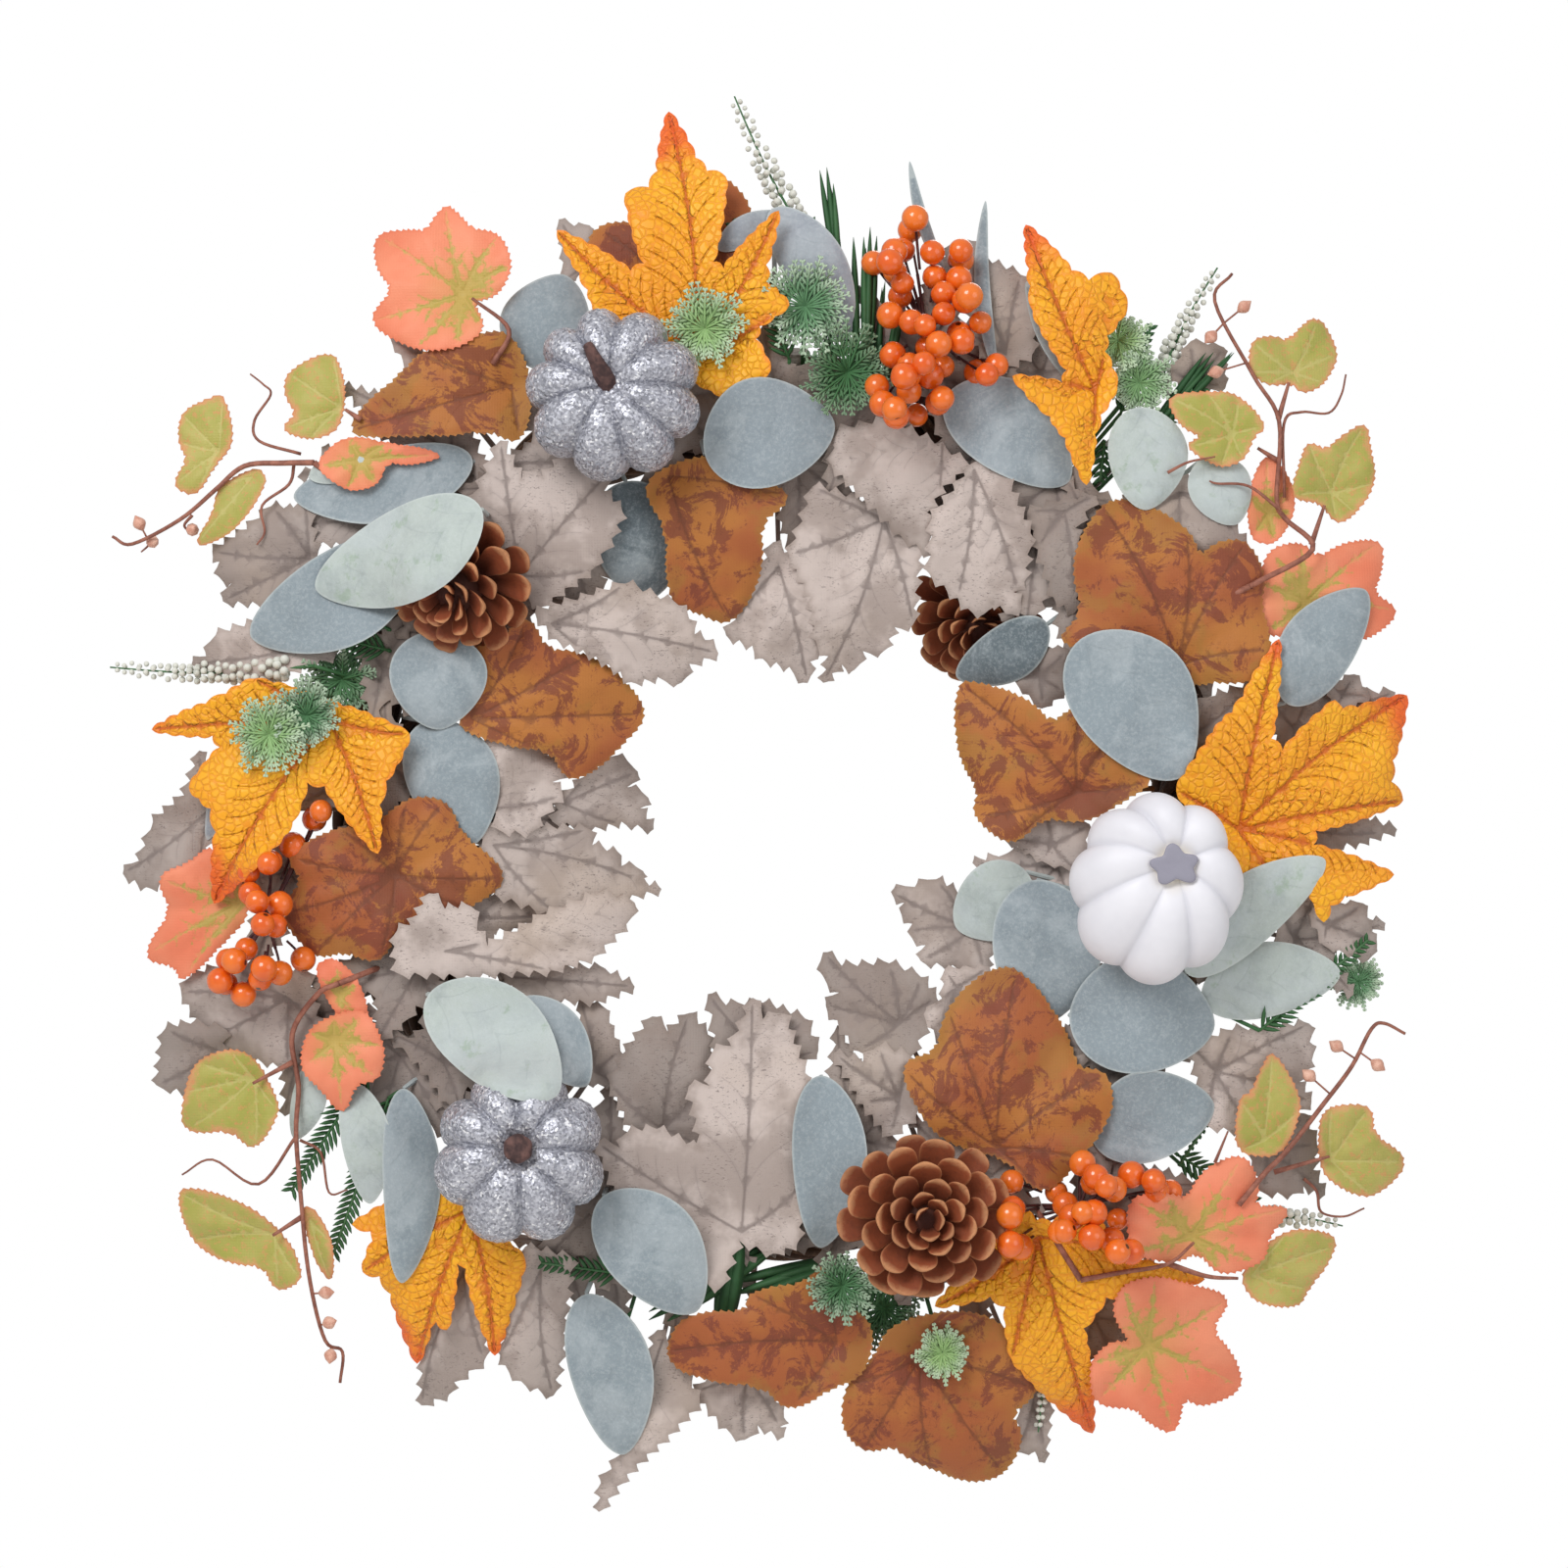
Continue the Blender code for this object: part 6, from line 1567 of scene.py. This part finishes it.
def spike(build, start, tip, size, tone, rng):
    """A flower spike: small beads in whorls that shrink to the tip of a thin stem."""
    start, tip = np.array(start, float), np.array(tip, float)
    length = float(np.linalg.norm(tip - start))
    side = np.array([-(tip - start)[1], (tip - start)[0], 0]) / length
    curve = [start + (tip - start) * t + side * 2.5 * math.sin(math.pi * t) for t in np.linspace(0, 1, 12)]
    build.tube(curve, np.linspace(0.7, 0.35, 12), 6, 0, tone=0.3)
    whorls = max(4, int(length / 3.4))
    for k in range(whorls):
        t = 0.14 + 0.86 * k / whorls
        middle = start + (tip - start) * t + side * 2.5 * math.sin(math.pi * t)
        around = 5 if t < 0.7 else 3
        for j in range(around):
            turn = 2 * math.pi * (j + 0.5 * (k % 2)) / around + rng.uniform(-0.3, 0.3)
            out = side * math.cos(turn) + np.array([0, 0, 1.0]) * math.sin(turn)
            reach = size * (1.15 - 0.75 * t) * rng.uniform(0.7, 1.1)
            points, faces, _ = ball(middle + out * reach, max(0.8, 2.0 - 1.1 * t), out, 6, 8)
            build.add(points, faces, 0, tone=tone, along=0.0)


def green_heads(name, build, heads):
    """The dill heads of one spray of moulded greenery, on top of most leaves."""
    rng = random.Random(leaf_seed(name, 4))
    for (x, z, radius), tone in zip(heads, GREEN_LOOKS[name][0]):
        top = np.array([x, z, float(heights.read(x, z)) + 2])
        build.tube(straight(top, ring_foot(x, z, GREENS_FOOT), 7), 0.9, 6, 0, tone=0.2)
        head(build, x, z, radius, tone, rng)
    build.finish("greenery_" + name, "greens_plastic", [MATERIALS["greens"]], ("greens_" + name,))


def green_blades(name, build, blades):
    """The flower spikes, needle sprigs and grass of one spray, behind the upper leaves."""
    rng = random.Random(leaf_seed(name, 3))
    for (base, tip, width), kind in zip(blades, GREEN_LOOKS[name][1]):
        depth = float(heights.read(*base)) + 1.2
        far = float(np.maximum(heights.read(*tip), bed(*tip))) + 1.5
        start, end = np.array([*base, depth]), np.array([*tip, far])
        if kind == "a":
            spike(build, start, end, width * 0.42, 0.95, rng)
        elif kind == "s":
            sprig(build, start, end, width, 0.15, rng)
        else:
            for j in range(5):
                lean = np.array([rng.uniform(-8, 8), rng.uniform(-5, 5), rng.uniform(0, 3)])
                blade(build, start + lean * 0.3, end + lean * (1 if j else 0.2), width * 0.5,
                      0.02 + 0.16 * rng.random(), 0.2, 10, 0.4, 2.0)
        build.tube(straight(start, ring_foot(*base, GREENS_FOOT), 5), 0.8, 6, 0, tone=0.2)
        line = start + np.outer(np.linspace(0, 1, 24), end - start)
        heights.write(line[:, 0], line[:, 1], line[:, 2] + 1.0, 3)


def sprig(build, start, tip, width, tone, rng):
    """A stem with pairs of small needle leaflets."""
    way = tip - start
    build.tube(straight(start, tip, 6), 0.6, 6, 0, tone=0.3)
    turn = math.atan2(way[1], way[0])
    count = max(4, int(np.linalg.norm(way) / 2.6))
    for k in range(count):
        t = (k + 0.5) / count
        for hand in (-1, 1):
            bend = turn + hand * 0.8
            reach = width * 0.75 * (1.1 - 0.6 * t) * rng.uniform(0.8, 1.1)
            end = start + way * t + np.array([math.cos(bend), math.sin(bend), 0.3]) * reach
            blade(build, start + way * t, end, 1.7, tone, 0.1, 3)


# ---- Ring ------------------------------------------------------------------------------------

def vine_strand(number, phase):
    """Several thin knotty vines twisted into one strand of the ring."""
    rng = random.Random(40 + number)
    build = Build()
    for twig in range(7):
        spread = 5.6 if twig < 6 else 0.0
        radius = rng.uniform(2.3, 3.1) if twig < 6 else 3.2
        start = 2 * math.pi * twig / 6 + rng.uniform(-0.2, 0.2)
        twists = rng.choice((9, 10, 11))
        rings = []
        for i in range(VINE_STEPS):
            angle = 2 * math.pi * i / VINE_STEPS
            strand = phase + STRAND_TURNS * angle
            own = start + twists * angle
            swell = radius * (1 + 0.14 * smooth_noise(Vector((9 * math.sin(angle), 9 * math.cos(angle),
                                                               twig * 3.1 + number))))
            reach = spread * (1 + 0.12 * math.sin(5 * angle + twig))
            out = STRAND_OFFSET * math.cos(strand) + reach * math.cos(own)
            front = STRAND_OFFSET * math.sin(strand) + reach * math.sin(own)
            ring = []
            for k in range(TWIG_SIDES):
                turn = 2 * math.pi * k / TWIG_SIDES
                bark = swell * (1 + 0.07 * smooth_noise(Vector((40 * math.sin(angle), 40 * math.cos(angle),
                                                                 k * 1.7 + twig))))
                r = RING_RADIUS + out + bark * math.cos(turn)
                ring.append((r * math.sin(angle), r * math.cos(angle), front + bark * math.sin(turn)))
            rings.append(ring)
        faces = []
        for i in range(VINE_STEPS):
            j = (i + 1) % VINE_STEPS
            for k in range(TWIG_SIDES):
                m = (k + 1) % TWIG_SIDES
                faces.append(tuple(row * TWIG_SIDES + n for row, n in ((i, k), (i, m), (j, m), (j, k))))
        build.add(np.concatenate(rings), faces, 0, tone=rng.random())
    build.finish(f"twisted_vines_{number}", "vine_bark", [MATERIALS["bark"]], (f"vine_strand_{number}",))


def paint_node(name, material):
    """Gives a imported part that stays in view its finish."""
    made = frame["nodes"][name]
    made.data.materials.clear()
    made.data.materials.append(material)


# ---- The wreath ------------------------------------------------------------------------------

MATERIALS = {
    "taupe": taupe_material(), "rust": rust_material(), "yellow": yellow_material(),
    "coral": coral_material(), "ivy": ivy_material(), "sage": sage_material(),
    "glitter": glitter_material(), "white": white_material(), "berry": berry_material(),
    "cone": cone_material(), "greens": greens_material(), "bark": bark_material(),
    "stalk": plain_material("pumpkin_stalk", 0.75, (60, 40, 40), (112, 80, 74), 260.0, 0.5),
    "cut_stalk": plain_material("pumpkin_cut_stalk", 0.6, (226, 222, 214), (240, 236, 228), 200.0, 0.3,
                                extra=("tone", 0.5, 0.8, (140, 138, 156), 0.92)),
    "berry_stalk": plain_material("berry_stalk", 0.6, (60, 26, 30), (96, 48, 44), 300.0, 0.2),
    "vine_stem": plain_material("vine_stem", 0.65, (128, 76, 62), (168, 108, 88), 260.0, 0.2),
    "bud": plain_material("vine_bud", 0.6, (206, 146, 124), (236, 190, 168), 300.0, 0.15),
    "tape": plain_material("band_paper", 0.85, (84, 62, 46), (118, 90, 68), 220.0, 0.35, (1, 3, 1)),
    "wire": metal_material("hoop_wire", (110, 100, 92), (176, 170, 162), 0.42),
    "hanger": metal_material("hanger_metal", (96, 86, 74), (168, 160, 148), 0.4),
}


def build_ring():
    for number in range(3):
        vine_strand(number + 1, 2 * math.pi * number / 3)
    for number in range(1, 5):
        paint_node(f"binding_band_{number}", MATERIALS["tape"])
    paint_node("core_hoop", MATERIALS["wire"])
    paint_node("hanger_strap", MATERIALS["hanger"])
    paint_node("hanger_ring", MATERIALS["hanger"])


def spray_builds():
    """Starts every leaf piece and queues its leaves. Returns what finish needs for each piece."""
    ends, hubs = [], []
    for number, (junction, text) in enumerate(YELLOW_LEAVES):
        build = Build()
        queue_lobed(build, "yellow", "yellow", number, junction, text)
        ends.append((build, f"yellow_blade_{number + 1}", "yellow_leaf_cloth", ["yellow"],
                     (f"yellow_leaf_{number + 1}",)))
    for number, (junction, text) in enumerate(RUST_LEAVES):
        build = Build()
        queue_lobed(build, "rust", "rust", number, junction, text)
        ends.append((build, f"rust_blade_{number + 1}", "rust_leaf_cloth", ["rust"],
                     (f"rust_leaf_{number + 1}",)))
    for name, hub, shapes in TAUPE_SPRAYS:
        build = Build()
        for index, (junction, text) in enumerate(shapes):
            queue_lobed(build, name, "taupe", index, junction, text)
        hubs.append((hub, build))
        ends.append((build, f"taupe_leaves_{name}", "taupe_leaf_cloth", ["taupe"], (f"taupe_{name}",)))
    filler_leaves(hubs)
    for name, shapes in SAGE_SPRAYS:
        build = Build()
        key = name if name in ("top", "left_top", "right_mid") else "sage_" + name
        tones, layers = LOOKS[key]
        for index, (base, tip, width) in enumerate(shapes):
            leaf = Leaf(build, "sage", TONES[tones[index]], int(layers[index]), leaf_seed(key, index))
            leaves.append(leaf.oval(base, tip, width * (1.14 if width > 14 else 1.0)))
        ends.append((build, f"sage_leaves_{name}", "sage_flock", ["sage"], (f"sage_{name}",)))
    for name, shapes in VINE_SPRAYS:
        build = Build()
        key = name if name == "left_low" else "vine_" + name
        for index, (junction, text) in enumerate(shapes):
            kind = "coral" if LOOKS[key][0][index] == "c" else "ivy"
            leaf = queue_lobed(build, key, kind, index, junction, text)
            leaf.slot = 0 if kind == "coral" else 1
        ends.append((build, f"ivy_leaves_{name}", "ivy_leaf_cloth", ["coral", "ivy"], ()))
    return ends


def maple_outline(junction, aim, size):
    """Five pointed lobes around a junction, the longest along aim (radians)."""
    points, sharp = [], []
    lobes = ((-1.95, 0.55), (-0.92, 0.86), (0.0, 1.0), (0.92, 0.86), (1.95, 0.55))
    for turn, reach in lobes:
        for offset, share, tip in ((-0.24, 0.60, True), (-0.13, 0.70, False), (0.0, 1.0, True),
                                   (0.13, 0.70, False), (0.24, 0.60, True), (0.46, 0.40, False)):
            angle = aim + turn + offset
            r = size * reach * share
            points.append((junction[0] + r * math.cos(angle), junction[1] + r * math.sin(angle)))
            sharp.append(tip)
    return np.array(points), np.array(sharp)


def filler_leaves(builds):
    """Maple leaves at the very back that close gaps and cover the ring, each in the nearest spray; their dark
    tones are painted shade in the gaps.
    """
    rng = random.Random(12)

    def nearest(place):
        return min(builds, key=lambda item: math.dist(item[0], place))[1]

    for k, (x, z, aim, size, tone) in enumerate(GAP_LEAVES):
        leaf = Leaf(nearest((x, z)), "taupe", tone, 0, 700 + k)
        leaves.append(leaf.lobed((x, z), *maple_outline((x, z), math.radians(aim), size)))
    for k in range(FILLER_COUNT):
        clock = 2 * math.pi * (k + rng.uniform(-0.2, 0.2)) / FILLER_COUNT
        out = k % 2 == 0
        r = RING_RADIUS + (-4.0 if out else 6.0)
        junction = (r * math.sin(clock), r * math.cos(clock))
        aim = math.pi / 2 - clock + (0.0 if out else math.pi) + rng.uniform(-0.6, 0.6)
        # dark tones for the back leaves round the ring: painted shade between the leaves in front
        leaf = Leaf(nearest(junction), "taupe", rng.uniform(0.0, 0.45), 0, 900 + k)
        leaves.append(leaf.lobed(junction, *maple_outline(junction, aim, rng.uniform(38, 46))))


def pumpkins():
    """The three pumpkins, each with its own kind of stalk."""
    silver = ("silver_glitter", MATERIALS["glitter"], 0.18)
    white = ("white_pumpkin", MATERIALS["white"], 0.115)
    stalk_silver_top(*pumpkin("silver_top", 9, 10.0, *silver, (-2.0, 3.0), 0.4))
    stalk_silver_low(*pumpkin("silver_low", 8, 0.0, *silver, (0.0, 3.5), 0.4))
    stalk_white(*pumpkin("white", 8, 24.0, *white, (6.0, 9.0), 0.0))


def lay_everything():
    """Lays every piece on the ones behind it, from the back layer to the front one."""
    ends = spray_builds()
    jobs = [(leaf.layer, leaf.lay) for leaf in leaves]
    for layer, *settings in PINE_CONES:
        jobs.append((layer, lambda values=settings: pine_cone(*values)))
    jobs.append((7.5, pumpkins))
    for name, heads, blades in GREENS_SPRAYS:
        build = Build()
        jobs.append((2.6, lambda n=name, b=build, items=blades: green_blades(n, b, items)))
        jobs.append((7.2, lambda n=name, b=build, items=heads: green_heads(n, b, items)))
    for name, hub, places in BERRY_SPRAYS:
        jobs.append((6.5, lambda n=name, h=hub, p=places: berries(n, h, p)))
    for _, job in sorted(jobs, key=lambda item: item[0]):
        job()
    for name in VINE_STEMS:
        stems = vine_stems(name)
        stems.finish("ivy_stems_" + name, "ivy_leaf_cloth", [MATERIALS["vine_stem"], MATERIALS["bud"]],
                     ("ivy_vine_" + name,))
    for build, name, slot, keys, nodes in ends:
        build.finish(name, slot, [MATERIALS[key] for key in keys], nodes, thickness=LEAF_SKIN)


def light(name, place, aim, size, power):
    """A round soft lamp at place, turned towards aim."""
    data = bpy.data.lights.new(name, "AREA")
    data.shape = "DISK"
    data.size = size
    data.energy = power
    made = bpy.data.objects.new(name, data)
    made.location = place
    made.rotation_euler = (Vector(aim) - Vector(place)).to_track_quat("-Z", "Y").to_euler()
    bpy.context.scene.collection.objects.link(made)


def studio():
    """Pale floor far below the hanging wreath, a bright even surround, soft lamps and the camera."""
    scene = bpy.context.scene
    mesh = bpy.data.meshes.new("floor")
    side, drop = 1.1, -0.80
    mesh.from_pydata([(-side, -side, drop), (side, -side, drop), (side, side, drop), (-side, side, drop)],
                     [], [(0, 1, 2, 3)])
    floor = bpy.data.objects.new("floor", mesh)
    scene.collection.objects.link(floor)
    mesh.materials.append(plain_material("floor", 0.85, (238, 236, 232), (244, 243, 240), 6.0, 0.2))
    world_data = bpy.data.worlds.new("surround")
    world_data.use_nodes = True
    tree = world_data.node_tree
    background = tree.nodes["Background"]
    background.inputs["Color"].default_value = (1.0, 1.0, 1.0, 1.0)
    path = tree.nodes.new("ShaderNodeLightPath")
    strength = tree.nodes.new("ShaderNodeMapRange")
    strength.inputs["To Min"].default_value = AMBIENT
    strength.inputs["To Max"].default_value = 1.0
    tree.links.new(path.outputs["Is Camera Ray"], strength.inputs["Value"])
    tree.links.new(strength.outputs["Result"], background.inputs["Strength"])
    scene.world = world_data
    aim = (CENTRE.x, CENTRE.y - 0.03, CENTRE.z)
    light("key", (-0.9, -1.7, 1.0), aim, 1.1, KEY_POWER)
    light("fill", (1.4, -1.5, 0.2), aim, 1.4, FILL_POWER)
    light("back", (0.4, 1.6, 0.9), aim, 1.2, FILL_POWER)
    data = bpy.data.cameras.new("camera")
    data.lens = 135.0
    camera = bpy.data.objects.new("camera", data)
    target = Vector((CENTRE.x, -0.05, CENTRE.z + VIEW_RISE))
    camera.location = target + Vector((0, -VIEW_DISTANCE, 0))
    camera.rotation_euler = (math.radians(90), 0, 0)
    scene.collection.objects.link(camera)
    scene.camera = camera
    scene.view_settings.view_transform = "Standard"


build_ring()
lay_everything()
studio()
